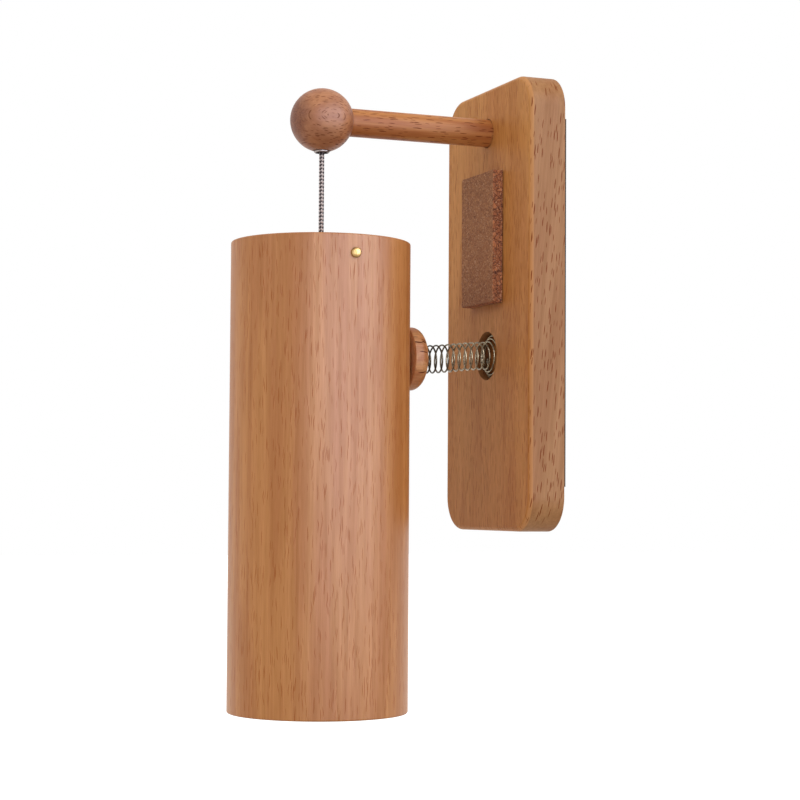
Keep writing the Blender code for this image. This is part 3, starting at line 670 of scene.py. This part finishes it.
def brushed(name, bright, dull, centre_mm):
    """Metal turned on a lathe: fine rings round a centre line along Z."""
    look = Look(name, Metallic=1.0)
    place = look.place_mm([-value for value in centre_mm])
    x, y = look.parts(place)[:2]
    inputs = {"W": look.times(look.reach(x, y), 3.5), "Scale": 1.0, "Detail": 5.0, "Roughness": 0.7}
    rings = look.node("TexNoise", inputs, noise_dimensions="1D")
    stain = look.noise(place, (7, 7, 7), 3.0)
    colour = look.mix(look.remap(rings, 0.25, 0.75), dull, bright)
    look.colour(look.mix(look.remap(stain, 0.45, 0.75, 0.0, 0.35), colour, dull))
    look.roughness(look.remap(rings, 0.3, 0.7, 0.24, 0.40))
    look.bump(rings, 0.02, 0.5)
    return look.material


tube_wood = beech("Tube beech", linear(182, 119, 60), linear(170, 105, 48), linear(140, 60, 12),
                  centre=(TUBE_AXIS.x, TUBE_AXIS.y, 0), radius=31.0, band=(4.5, 4.5, 70.0), cell=(0.37, 10.0),
                  share=0.33, size=0.31, strength=0.72, streak=0.07)
# The plate's rim takes a tint of painted shade and sheen, and its front edge a painted highlight.
plate_wood = beech("Plate beech", linear(188, 128, 68), linear(176, 114, 57), linear(116, 46, 10),
                   turn=LEANING, lies="board", band=(9.0, 9.0, 110.0), cell=(0.50, 6.5), share=0.40,
                   size=0.34, strength=0.90, side_cell=(0.58, 6.8), rim_shade_and_sheen=(0.78, 0.85, 1.22),
                   painted_edge_highlight=linear(206, 148, 100), streak=0.09, shine=0.12, gloss=0.5)
arm_wood = beech("Arm beech", linear(190, 124, 68), linear(172, 102, 52), linear(98, 38, 12),
                 turn=ALONG_Y, centre=ARM_CENTRE, radius=4.9, band=(2.5, 2.5, 30.0), cell=(0.52, 5.4),
                 share=0.44, size=0.34, strength=0.85, shine=0.18)
ball_wood = beech("Ball beech", linear(180, 120, 80), linear(164, 104, 68), linear(96, 46, 28),
                  turn=ALONG_Y, centre=BALL_CENTRE, lies="ball", band=(3.0, 3.0, 9.0), cell=(0.42, 2.7),
                  share=0.52, size=0.34, strength=0.72, shine=0.3, end_cover=0.75)
# The button's face takes painted light: a paler colour over the shade between button and tube.
button_wood = beech("Button beech", linear(204, 146, 96), linear(184, 118, 72), linear(84, 32, 12),
                    turn=ALONG_Y, centre=BUTTON_CENTRE, radius=11.1, band=(3.0, 3.0, 9.0), cell=(1.2, 11.0),
                    share=0.62, size=0.34, strength=0.95, streak=0.13, shine=0.2,
                    end_cover=0.55, painted_end_light=linear(226, 172, 122))
inner_wood = beech("Inner beech", linear(186, 130, 82), linear(174, 116, 70), linear(112, 58, 30),
                   turn=ALONG_X, lies="board", band=(4.0, 4.0, 40.0), cell=(0.6, 4.5), gloss=0.6, shine=0.3)
cork_face_look = cork("Cork face", 0.9, linear(166, 112, 72), linear(104, 58, 32), 0.45, 0.22)
cork_side_look = cork("Cork side", 1.5, linear(196, 124, 78), linear(110, 54, 28), 0.85, 0.30)
pad_look = foam("Pad foam")
brass = metal("Polished brass", linear(192, 160, 108), linear(140, 104, 58), 0.34)
steel = metal("Eyelet steel", linear(158, 148, 142), linear(104, 92, 86), 0.32)
# Painted shade for the inside of the eyelet's bore.
bore_shade_steel = metal("Eyelet bore shade", linear(58, 46, 42), linear(30, 23, 21), 0.55)
rod_steel = metal("Rod steel", linear(190, 192, 196), linear(150, 151, 155), 0.26, (1.2, 1.2, 14.0))
# The spring's bronze, with painted shade on the turns towards the button.
bronze = metal("Bronze with painted shade", linear(170, 154, 124), linear(92, 78, 58), 0.28, (1.1, 1.1, 1.1),
               painted_shade_from=(-24.0, -36.0))
plate_steel = brushed("Turned steel", linear(186, 187, 190), linear(140, 140, 144), TUBE_AXIS * 1000)
pale_yarn = yarn("Pale yarn", linear(236, 226, 224), linear(196, 182, 180))
# Painted shade: for the braid's dark strands and core, and for the cord's bends inside their holes.
shade_yarn = yarn("Yarn painted as shade", linear(64, 46, 46), linear(28, 18, 20))


# Pieces on the wall side


def make_board():
    """The back plate with its two holes in front."""
    mesh = rounded_box("wall_board", plate_low, plate_high, PLATE_CORNER_RADIUS, PLATE_FRONT_ROUND,
                       PLATE_BACK_ROUND, PLATE_CORNER_STEPS)
    arm_hole = cylinder(ARM_RADIUS + SEAT_GAP, -CUT_OVERRUN, ARM_PLATE_DEPTH, ROUND_STEPS)
    recess = cylinder(RECESS_RADIUS, -CUT_OVERRUN, RECESS_DEPTH, ROUND_STEPS)
    cutters = [
        moved(arm_hole, facing((0, plate_low.y, ARM_CENTRE.z), INTO_WALL)),
        moved(recess, facing((0, plate_low.y, RECESS_Z), INTO_WALL)),
        pilot_hole(-1, RECESS_Z, INTO_WALL),
    ]
    mesh = combined(mesh, cutters)
    board = piece("wall_board", mesh, plate_wood, "wall_plate", "back_plate")
    board.modifiers.new("Even shading", "WEIGHTED_NORMAL").keep_sharp = True


def make_arm():
    half = (arm_high.y - arm_low.y) / 2
    mesh = revolve("arm_dowel", chamfered(ARM_RADIUS, -half, half, ARM_END_CHAMFER), ROUND_STEPS)
    moved(mesh, facing(ARM_CENTRE, INTO_WALL))
    piece("arm_dowel", mesh, arm_wood, "wall_plate", "hanger_arm")


def make_ball():
    """The ball, with a socket for the arm, a seat for the eyelet and a bore for the knot above it."""
    profile = arc((0, 0), BALL_RADIUS, 90, -90, ROUND_STEPS // 2)[1:-1]
    profile = [(0, BALL_RADIUS), *profile, (0, -BALL_RADIUS)]
    mesh = moved(revolve("turned_ball", profile, ROUND_STEPS), Matrix.Translation(BALL_CENTRE))
    socket = cylinder(ARM_RADIUS + SEAT_GAP, 0, ARM_BALL_DEPTH + CUT_OVERRUN, ROUND_STEPS)
    floor = BALL_CENTRE + Vector((0, BALL_RADIUS - ARM_BALL_DEPTH, 0))
    foot = BALL_CENTRE - Vector((0, 0, BALL_RADIUS))
    bore_radius = EYELET_BORE_RADIUS + EYELET_WALL + SEAT_GAP
    knot_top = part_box("stopper_knot")[1].z + SEAT_GAP - foot.z
    cutters = [
        moved(socket, facing(floor, INTO_WALL)),
        moved(cylinder(bore_radius, -CUT_OVERRUN, knot_top), Matrix.Translation(foot)),
        moved(cylinder(EYELET_RADIUS + SEAT_GAP, -CUT_OVERRUN, EYELET_SEAT), Matrix.Translation(foot)),
    ]
    piece("turned_ball", combined(mesh, cutters), ball_wood, "wall_plate", "arm_ball")


def make_cork():
    """The cork block. Its sides are broken granules, and its face is smoother."""
    low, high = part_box("cork_block")
    mesh = rounded_box("cork_tile", low, high, CORK_CORNER_RADIUS, CORK_EDGE_ROUND, 0, SMALL_EDGE_STEPS)
    bm = bmesh.new()
    bm.from_mesh(mesh)
    size = high - low
    for axis in range(3):
        normal = Vector([k == axis for k in range(3)])
        count = int(size[axis] / CORK_GRID)
        for i in range(1, count):
            place = normal * (low[axis] + size[axis] * i / count)
            geometry = bm.verts[:] + bm.edges[:] + bm.faces[:]
            bmesh.ops.bisect_plane(bm, geom=geometry, plane_co=place, plane_no=normal)
    for vertex in bm.verts:
        if vertex.co.y > high.y - ON_SIDE:
            continue
        out = vertex.co - (low + high) / 2
        edge = 2 * max(abs(out.x) / size.x, abs(out.z) / size.z)
        crumb = noise.noise(vertex.co * CORK_CRUMBS_PER_METRE)
        crumb += 0.6 * noise.noise(vertex.co * CORK_FINE_CRUMBS_PER_METRE)
        if edge > CORK_SIDES_FROM:
            inward = Vector((-out.x, 0, -out.z)).normalized()
            vertex.co += inward * (CORK_CRUMB_DEPTH * (0.5 + 0.7 * crumb))
        else:
            vertex.co.y += CORK_FACE_CRUMB_DEPTH * (0.6 + crumb)
    bm.to_mesh(mesh)
    bm.free()
    shade(mesh, 60)
    face_half_width = size.x / 2 - CORK_EDGE_ROUND
    for face in mesh.polygons:
        on_face = face.normal.y < -0.7 and abs(face.center.x) < face_half_width
        face.material_index = 0 if on_face else 1
    piece("cork_tile", mesh, [cork_face_look, cork_side_look], "wall_plate", "cork_block")


def make_eyelet():
    """A rolled metal eyelet: a low flange under the ball and a barrel inside it, with painted shade in its
    bore.
    """
    low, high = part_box("cord_eyelet")
    barrel = EYELET_BORE_RADIUS + EYELET_WALL
    seat = low.z + EYELET_FLANGE_HEIGHT + EYELET_SEAT - SEAT_GAP
    rim = seat - EYELET_RIM_THICKNESS
    overhang = EYELET_RADIUS - barrel
    profile = [(EYELET_BORE_RADIUS, high.z), (barrel, high.z), (barrel, seat)]
    profile += [(EYELET_RADIUS - EYELET_RIM_CHAMFER, seat)]
    profile += arc((barrel, rim), overhang, 0, -90, steps=14, squash=(rim - low.z) / overhang)
    profile += arc((barrel, low.z + EYELET_WALL), EYELET_WALL, -95, -180, steps=6)
    mesh = moved(revolve("rolled_eyelet", profile, ROUND_STEPS, ring=True), AT_CORD)
    # Faces inside the bore take the painted shade.
    for face in mesh.polygons:
        across = Vector((face.center.x - CORD_PIVOT.x, face.center.y - CORD_PIVOT.y)).length
        face.material_index = 1 if across < EYELET_BORE_RADIUS + SEAT_GAP else 0
    piece("rolled_eyelet", mesh, [steel, bore_shade_steel], "wall_plate", "cord_eyelet")


# Cord and knots


def braid(name, top, bottom):
    """A round braid, over and under: pale strands wind one way and dark ones, painted shade, the other way.
    """
    bm = bmesh.new()
    length = top - bottom
    steps = int(length / CORD_LAY * CORD_STRANDS * POINTS_PER_WAVE)
    rise = STRAND_THICKNESS * STRAND_RISE_SHARE
    track = CORD_RADIUS - STRAND_THICKNESS / 2 - rise
    for slot, way in enumerate((1, -1)):
        for k in range(CORD_STRANDS):
            points = []
            outward = []
            for i in range(steps + 1):
                turn = math.tau * length / CORD_LAY * i / steps
                angle = way * turn + math.tau * k / CORD_STRANDS
                out = Vector((math.cos(angle), math.sin(angle), 0))
                wave = way * math.cos(CORD_STRANDS * turn)
                points.append(out * (track + rise * wave) + Vector((0, 0, top - length * i / steps)))
                outward.append(out)
            sweep(bm, points, STRAND_WIDTH / 2, STRAND_THICKNESS / 2, sides=10, outward=outward, slot=slot)
    # The dark core is painted shade too, seen in the gaps between the strands.
    core = track - rise * CORE_DEPTH_SHARE
    sweep(bm, [Vector((0, 0, top)), Vector((0, 0, bottom))], core, core, sides=16, slot=1)
    return finished(bm, name)


def make_cord():
    """The stretch of cord between the ball and the tube's bar, which ends in its two bends."""
    mesh = moved(braid("braided_cord", CORD_PIVOT.z, BAR_MOUTH.z), AT_CORD)
    cord = piece("braided_cord", mesh, [pale_yarn, shade_yarn], "cord", "hanging_cord")


def knot_ball(name, radius):
    """A round knot of cord: one strand wound over a ball in a slowly turning loop."""
    bm = bmesh.new()
    bmesh.ops.create_uvsphere(bm, u_segments=24, v_segments=12, radius=radius * KNOT_CORE_SHARE)
    points = []
    outward = []
    for i in range(KNOT_STEPS):
        swing = math.tau * KNOT_SWINGS * i / KNOT_STEPS
        turn = math.tau * KNOT_TURNS * i / KNOT_STEPS
        out = Vector((math.cos(swing) * math.cos(turn), math.cos(swing) * math.sin(turn), math.sin(swing)))
        points.append(out * (radius * KNOT_TRACK_SHARE))
        outward.append(out)
    half_width, half_height = radius * KNOT_STRAND_WIDTH_SHARE, radius * KNOT_STRAND_HEIGHT_SHARE
    sweep(bm, points, half_width, half_height, sides=8, outward=outward)
    return finished(bm, name)


def make_knots():
    """Knots of cord in the ball, under the bar and under the striker, and the yarn of the cord's bends."""
    for name, node, body, at_top in (
        ("ball_knot", "stopper_knot", "wall_plate", True),
        ("tube_knot", "bar_knot", "knot", False),
        ("striker_stop", "striker_knot", "striker", False),
    ):
        low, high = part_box(node)
        radius = radius_of(node)
        height = high.z - radius if at_top else low.z + radius
        mesh = moved(knot_ball(name, radius), upright_at(CORD_PIVOT, height))
        piece(name, mesh, pale_yarn, body, node)
    # The cord's bends sit inside holes and take painted shade.
    for node in ("upper_cord_bend", "lower_cord_bend", "striker_cord_bend"):
        dress(node, shade_yarn)


def dress(node, look):
    """Gives a carried-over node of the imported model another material."""
    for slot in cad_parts[node].material_slots:
        slot.material = look


# Tube and what it holds


def make_tube():
    low, high = tube_low.z, tube_high.z
    edge = TUBE_EDGE_ROUND
    profile = arc((TUBE_RADIUS - edge, high - edge), edge, 90, 0, steps=5)
    profile += arc((TUBE_RADIUS - edge, low + edge), edge, 0, -90, steps=5)
    rebate = TUBE_BORE_RADIUS + TUBE_REBATE_WIDTH
    profile += [(rebate, low), (rebate, low + TUBE_REBATE_DEPTH), (TUBE_BORE_RADIUS, low + TUBE_REBATE_DEPTH)]
    profile += arc((TUBE_BORE_RADIUS + edge / 2, high - edge / 2), edge / 2, 180, 90, steps=4)
    mesh = moved(revolve("turned_tube", profile, TUBE_STEPS, ring=True), AT_TUBE_AXIS)
    reach = TUBE_RADIUS + CUT_OVERRUN
    hole = cylinder(NAIL_SHANK_RADIUS + SEAT_GAP, -reach, reach)
    moved(hole, facing(BAR_CENTRE, along_bar()))
    piece("turned_tube", combined(mesh, [hole]), tube_wood, "tube", "resonator_tube")


def along_bar():
    return Vector((math.cos(BAR_ANGLE), math.sin(BAR_ANGLE), 0))


def make_bar():
    """The bar across the tube's mouth, with softened edges and ends that follow the bore."""
    height = bar_high.z - bar_low.z
    bm = cuboid((2 * TUBE_BORE_RADIUS, BAR_WIDTH, height))
    along_x = [e for e in bm.edges if abs(e.verts[0].co.x - e.verts[1].co.x) > TUBE_BORE_RADIUS]
    soften(bm, along_x, BAR_EDGE_ROUND, SMALL_EDGE_STEPS)
    ends = cylinder(TUBE_BORE_RADIUS - SEAT_GAP, -height, height, TUBE_STEPS)
    mesh = combined(as_mesh(bm, "mouth_bar"), [ends], "INTERSECT")
    tip = TUBE_RADIUS - NAIL_LENGTH
    holes = [cylinder(BAR_CORD_HOLE_RADIUS, -height, height)]
    for side in (-1, 1):
        nail_hole = cylinder(NAIL_SHANK_RADIUS + SEAT_GAP, tip, TUBE_RADIUS)
        holes.append(moved(nail_hole, facing((0, 0, 0), Vector((side, 0, 0)))))
    mesh = combined(mesh, holes)
    moved(mesh, Matrix.Rotation(BAR_ANGLE, 4, "Z"))
    moved(mesh, Matrix.Translation(BAR_CENTRE))
    piece("mouth_bar", mesh, inner_wood, "tube", "cross_bar")


def make_nails():
    """Dome-head nails, one seen near the rim and its twin opposite."""
    dome = arc((0, 0), NAIL_HEAD_RADIUS, 90, 0, steps=12, squash=NAIL_HEAD_HEIGHT / NAIL_HEAD_RADIUS)
    profile = [(0, NAIL_HEAD_HEIGHT)] + dome[1:]
    profile += [(NAIL_SHANK_RADIUS, 0), (NAIL_SHANK_RADIUS, 2 * NAIL_SHANK_RADIUS - NAIL_LENGTH)]
    profile += [(0, -NAIL_LENGTH)]
    for node, side in (("brass_nail_near", 1), ("brass_nail_far", -1)):
        out = along_bar() * side
        seat = BAR_CENTRE + out * (TUBE_RADIUS + SEAT_GAP)
        mesh = moved(revolve(node + "_dome", profile, SMALL_STEPS), facing(seat, out))
        piece(node + "_dome", mesh, brass, "tube", node)


def make_rods():
    """The rod plate and its rods, with small chamfers."""
    low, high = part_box("rod_plate")
    rods = sorted(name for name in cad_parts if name.startswith("chime_rod_"))
    profile = chamfered(radius_of("rod_plate"), low.z, high.z, ROD_END_CHAMFER)
    mesh = moved(revolve("rod_disc", profile, TUBE_STEPS), AT_TUBE_AXIS)
    holes = []
    for name in rods:
        hole = cylinder(ROD_RADIUS + SEAT_GAP, low.z - ROD_END_CHAMFER, high.z + ROD_END_CHAMFER)
        holes.append(moved(hole, upright_at(middle(name))))
    piece("rod_disc", combined(mesh, holes), plate_steel, "tube", "rod_plate")
    for name in rods:
        rod_low, rod_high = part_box(name)
        profile = chamfered(ROD_RADIUS, rod_low.z, rod_high.z, ROD_END_CHAMFER)
        mesh = moved(revolve(name + "_bar", profile, SMALL_STEPS), upright_at(middle(name)))
        piece(name + "_bar", mesh, rod_steel, "tube", name)


def make_striker():
    """The striker's disc with softened edges."""
    low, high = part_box("striker_disc")
    inset = radius_of("striker_disc") - STRIKER_EDGE_ROUND
    hole = STRIKER_CORD_RADIUS + SEAT_GAP
    profile = [(hole, high.z)]
    profile += arc((inset, high.z - STRIKER_EDGE_ROUND), STRIKER_EDGE_ROUND, 90, 0, EDGE_STEPS)
    profile += arc((inset, low.z + STRIKER_EDGE_ROUND), STRIKER_EDGE_ROUND, 0, -90, EDGE_STEPS)
    profile += [(hole, low.z)]
    mesh = moved(revolve("striker_puck", profile, ROUND_STEPS, ring=True), AT_TUBE_AXIS)
    piece("striker_puck", mesh, inner_wood, "striker", "striker_disc")


def make_striker_cord():
    """The striker's twisted cord, from its bend down."""
    top = middle("striker_cord_bend").z
    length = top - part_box("striker_cord")[0].z
    steps = int(length / STRIKER_CORD_LAY * STRIKER_POINTS_PER_LAY)
    strand = STRIKER_CORD_RADIUS * STRIKER_STRAND_SHARE
    reach = STRIKER_CORD_RADIUS - strand
    bm = bmesh.new()
    for k in range(STRIKER_CORD_STRANDS):
        points = []
        for i in range(steps + 1):
            height = top - length * i / steps
            angle = math.tau * ((top - height) / STRIKER_CORD_LAY + k / STRIKER_CORD_STRANDS)
            points.append(Vector((reach * math.cos(angle), reach * math.sin(angle), height)))
        sweep(bm, points, strand, strand, sides=8)
    mesh = moved(finished(bm, "twisted_cord"), AT_TUBE_AXIS)
    piece("twisted_cord", mesh, pale_yarn, "striker", "striker_cord")


# Bumper


def spring_route():
    """The wire's route as (angle, y, coil radius), from the tail in the button to the tail in the plate."""
    bend, coil, base = SPRING_BEND_RADIUS, SPRING_COIL_RADIUS, SPRING_BASE_RADIUS
    y = button_high.y - BUTTON_SOCKET_DEPTH
    angle = -math.tau * (SPRING_FIRST_CREST_TURNS + SPRING_CLOSED_TURNS) - bend / coil
    route = [(angle, y - SPRING_PILOT_DEPTH + SEAT_GAP, coil)]
    for i in range(EDGE_STEPS):
        turn = math.pi / 2 * i / EDGE_STEPS
        route.append((angle + bend * (1 - math.cos(turn)) / coil, y + bend * math.sin(turn), coil))
    angle += bend / coil
    y += bend
    closed = SPRING_CLOSED_TURNS * SPRING_CLOSED_PITCH
    flare = SPRING_FLARE_TURNS * SPRING_FLARE_PITCH
    total = BUTTON_SOCKET_DEPTH + SPRING_SPAN + RECESS_DEPTH - 2 * bend
    sections = (
        (SPRING_CLOSED_TURNS, closed, coil, coil),
        (SPRING_OPEN_TURNS, total - 2 * closed - flare, coil, coil),
        (SPRING_FLARE_TURNS, flare, coil, base),
        (SPRING_CLOSED_TURNS, closed, base, base),
    )
    for turns, length, radius, next_radius in sections:
        count = round(turns * SPRING_POINTS_PER_CURL)
        for i in range(count):
            share = i / count
            widened = radius + (next_radius - radius) * share
            route.append((angle + math.tau * turns * share, y + length * share, widened))
        angle += math.tau * turns
        y += length
    for i in range(EDGE_STEPS + 1):
        turn = math.pi / 2 * i / EDGE_STEPS
        route.append((angle + bend * math.sin(turn) / base, y + bend * (1 - math.cos(turn)), base))
    angle += bend / base
    y += bend
    route.append((angle, y + SPRING_PILOT_DEPTH - SEAT_GAP, base))
    return route


def pilot_hole(end, coil_z, way):
    """The cutter for the spring's tail at the end 0 of its route, in the button, or -1, in the plate."""
    angle, tip_y, radius = spring_route()[end]
    tip = (radius * math.sin(angle), tip_y, coil_z + radius * math.cos(angle))
    start = SEAT_GAP - SPRING_PILOT_DEPTH - CUT_OVERRUN / 2
    return moved(cylinder(PILOT_RADIUS, start, SEAT_GAP), facing(tip, way))


def make_spring():
    """The bumper's spring, built at rest, from the socket in the button to the recess in the plate."""
    points = []
    for angle, y, radius in spring_route():
        share = min(1.0, max(0.0, (y - button_high.y) / SPRING_SPAN))
        eased = share * share * (3 - 2 * share)
        middle_z = BUTTON_CENTRE.z + BUTTON_SAG * eased
        points.append(Vector((radius * math.sin(angle), y, middle_z + radius * math.cos(angle))))
    bm = bmesh.new()
    sweep(bm, points, SPRING_WIRE_RADIUS, SPRING_WIRE_RADIUS, sides=12)
    mesh = finished(bm, "wound_spring")
    spring = piece("wound_spring", mesh, bronze, None, "bumper_spring")
    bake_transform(spring)


def make_button():
    """The button: a flat face to the tube, a short rim and a dome with a socket for the spring."""
    rim = button_high.y - button_low.y - BUTTON_DOME_HEIGHT
    flare = BUTTON_RADIUS - BUTTON_NOSE_RADIUS
    edge = BUTTON_EDGE_ROUND
    profile = [(0, rim)] + arc((BUTTON_RADIUS - edge, rim - edge), edge, 90, 0, steps=3)
    profile += arc((BUTTON_NOSE_RADIUS, 0), flare, 0, -90, steps=16, squash=BUTTON_DOME_HEIGHT / flare)
    socket_floor = BUTTON_SOCKET_DEPTH - BUTTON_DOME_HEIGHT
    profile += [(SPRING_SOCKET_RADIUS, -BUTTON_DOME_HEIGHT), (SPRING_SOCKET_RADIUS, socket_floor)]
    profile += [(0, socket_floor)]
    centre = (0, button_high.y - BUTTON_DOME_HEIGHT, BUTTON_CENTRE.z)
    mesh = moved(revolve("turned_button", profile, ROUND_STEPS), facing(centre, -INTO_WALL))
    mesh = combined(mesh, [pilot_hole(0, BUTTON_CENTRE.z, -INTO_WALL)])
    piece("turned_button", mesh, button_wood, "bumper", "bumper_button")


# Camera, lights and floor


def direction(azimuth, elevation):
    """A direction from angles in radians. Azimuth is counted from +X towards +Y."""
    level = math.cos(elevation)
    return Vector((math.cos(azimuth) * level, math.sin(azimuth) * level, math.sin(elevation)))


def make_camera():
    ahead = direction(CAMERA_AZIMUTH + math.pi / 2, CAMERA_ELEVATION)
    right = direction(CAMERA_AZIMUTH, 0)
    up = right.cross(ahead)
    right, up = (right * math.cos(CAMERA_ROLL) + up * math.sin(CAMERA_ROLL),
                 up * math.cos(CAMERA_ROLL) - right * math.sin(CAMERA_ROLL))
    data = bpy.data.cameras.new("Camera")
    data.sensor_width = SENSOR_WIDTH
    data.lens = CAMERA_FOCAL_PIXELS / IMAGE_PIXELS * SENSOR_WIDTH
    data.clip_start = CAMERA_NEAR
    camera = linked("Camera", data)
    camera.matrix_world = Matrix.Translation(CAMERA_PLACE) @ Matrix((right, up, -ahead)).transposed().to_4x4()
    bpy.context.scene.camera = camera


def softbox(name, azimuth, elevation, distance, width, height, watts, tint=(1, 1, 1), only_gloss=False):
    """A soft area light aimed at the object from an azimuth and elevation in degrees."""
    data = bpy.data.lights.new(name, "AREA")
    data.shape = "RECTANGLE"
    data.size = width
    data.size_y = height
    data.energy = watts
    data.color = tint
    lamp = linked(name, data)
    lamp.visible_camera = False
    lamp.visible_diffuse = not only_gloss
    out = direction(math.radians(azimuth), math.radians(elevation))
    lamp.location = LIGHT_TARGET + out * distance
    lamp.rotation_euler = out.to_track_quat("Z", "Y").to_euler()


def white_to_eyes(tree):
    """1 for camera, glossy and transmission rays, and 0 for the rays that light the object."""
    rays = tree.nodes.new("ShaderNodeLightPath").outputs
    any_of = rays["Is Camera Ray"]
    for name in ("Is Glossy Ray", "Is Transmission Ray"):
        either = tree.nodes.new("ShaderNodeMath")
        either.operation = "MAXIMUM"
        tree.links.new(any_of, either.inputs[0])
        tree.links.new(rays[name], either.inputs[1])
        any_of = either.outputs[0]
    return any_of


def make_world():
    """White surroundings, a little dimmer as light than to the eye."""
    world = bpy.data.worlds.new("Studio")
    bpy.context.scene.world = world
    world.use_nodes = True
    tree = world.node_tree
    background = tree.nodes["Background"]
    background.inputs["Color"].default_value = (1, 1, 1, 1)
    strength = tree.nodes.new("ShaderNodeMapRange")
    strength.inputs["To Min"].default_value = SURROUND_STRENGTH
    strength.inputs["To Max"].default_value = 1.0
    tree.links.new(white_to_eyes(tree), strength.inputs["Value"])
    tree.links.new(strength.outputs[0], background.inputs["Strength"])


def make_floor():
    """A white floor well under the hanging tube. It keeps the shadow, and its underside is clear."""
    look = Look("Studio floor", Roughness=1.0, Specular_IOR_Level=0.0)
    fine = look.noise(look.place_mm(), (40, 40, 40))
    look.colour(look.mix(fine, (0.54, 0.54, 0.54), (0.57, 0.57, 0.57)))
    away = look.node("VectorMath", {0: look.place_mm()}, "Value", operation="LENGTH")
    glow = look.remap(away, *FLOOR_GLOW_REACH_MM, FLOOR_GLOW, FAR_FLOOR_GLOW, smooth=True)
    glow = look.times(white_to_eyes(look.tree), glow)
    look.set(look.shader, {"Emission Color": (1, 1, 1, 1), "Emission Strength": glow})
    clear = look.node("BsdfTransparent", output="BSDF")
    from_below = look.node("NewGeometry", output="Backfacing")
    surface = look.node("MixShader", {0: from_below, 1: look.shader.outputs["BSDF"], 2: clear})
    look.tree.links.new(surface, look.tree.nodes["Material Output"].inputs["Surface"])
    bm = bmesh.new()
    bmesh.ops.create_grid(bm, x_segments=1, y_segments=1, size=FLOOR_HALF_SIZE)
    floor = linked("floor", as_mesh(bm, "floor"))
    floor.location = (0, 0, tube_low.z - FLOOR_BELOW_TUBE)
    floor.data.materials.append(look.material)


make_camera()
make_cord()
make_board()
make_arm()
make_ball()
make_cork()
make_eyelet()
make_knots()
make_tube()
make_bar()
make_nails()
make_rods()
make_striker()
make_striker_cord()
make_spring()
make_button()
dress("mounting_pad", pad_look)

softbox("Key", azimuth=48, elevation=36, distance=1.5, width=0.9, height=1.2, watts=7.0,
        tint=(1.0, 0.99, 0.97))
softbox("Fill", azimuth=-85, elevation=28, distance=1.0, width=0.7, height=0.7, watts=1.5)
softbox("Gloss card", azimuth=15, elevation=8, distance=1.0, width=2.2, height=1.6, watts=58.0,
        tint=(0.80, 0.90, 1.14), only_gloss=True)
make_world()
make_floor()
bpy.context.scene.view_settings.view_transform = "Standard"
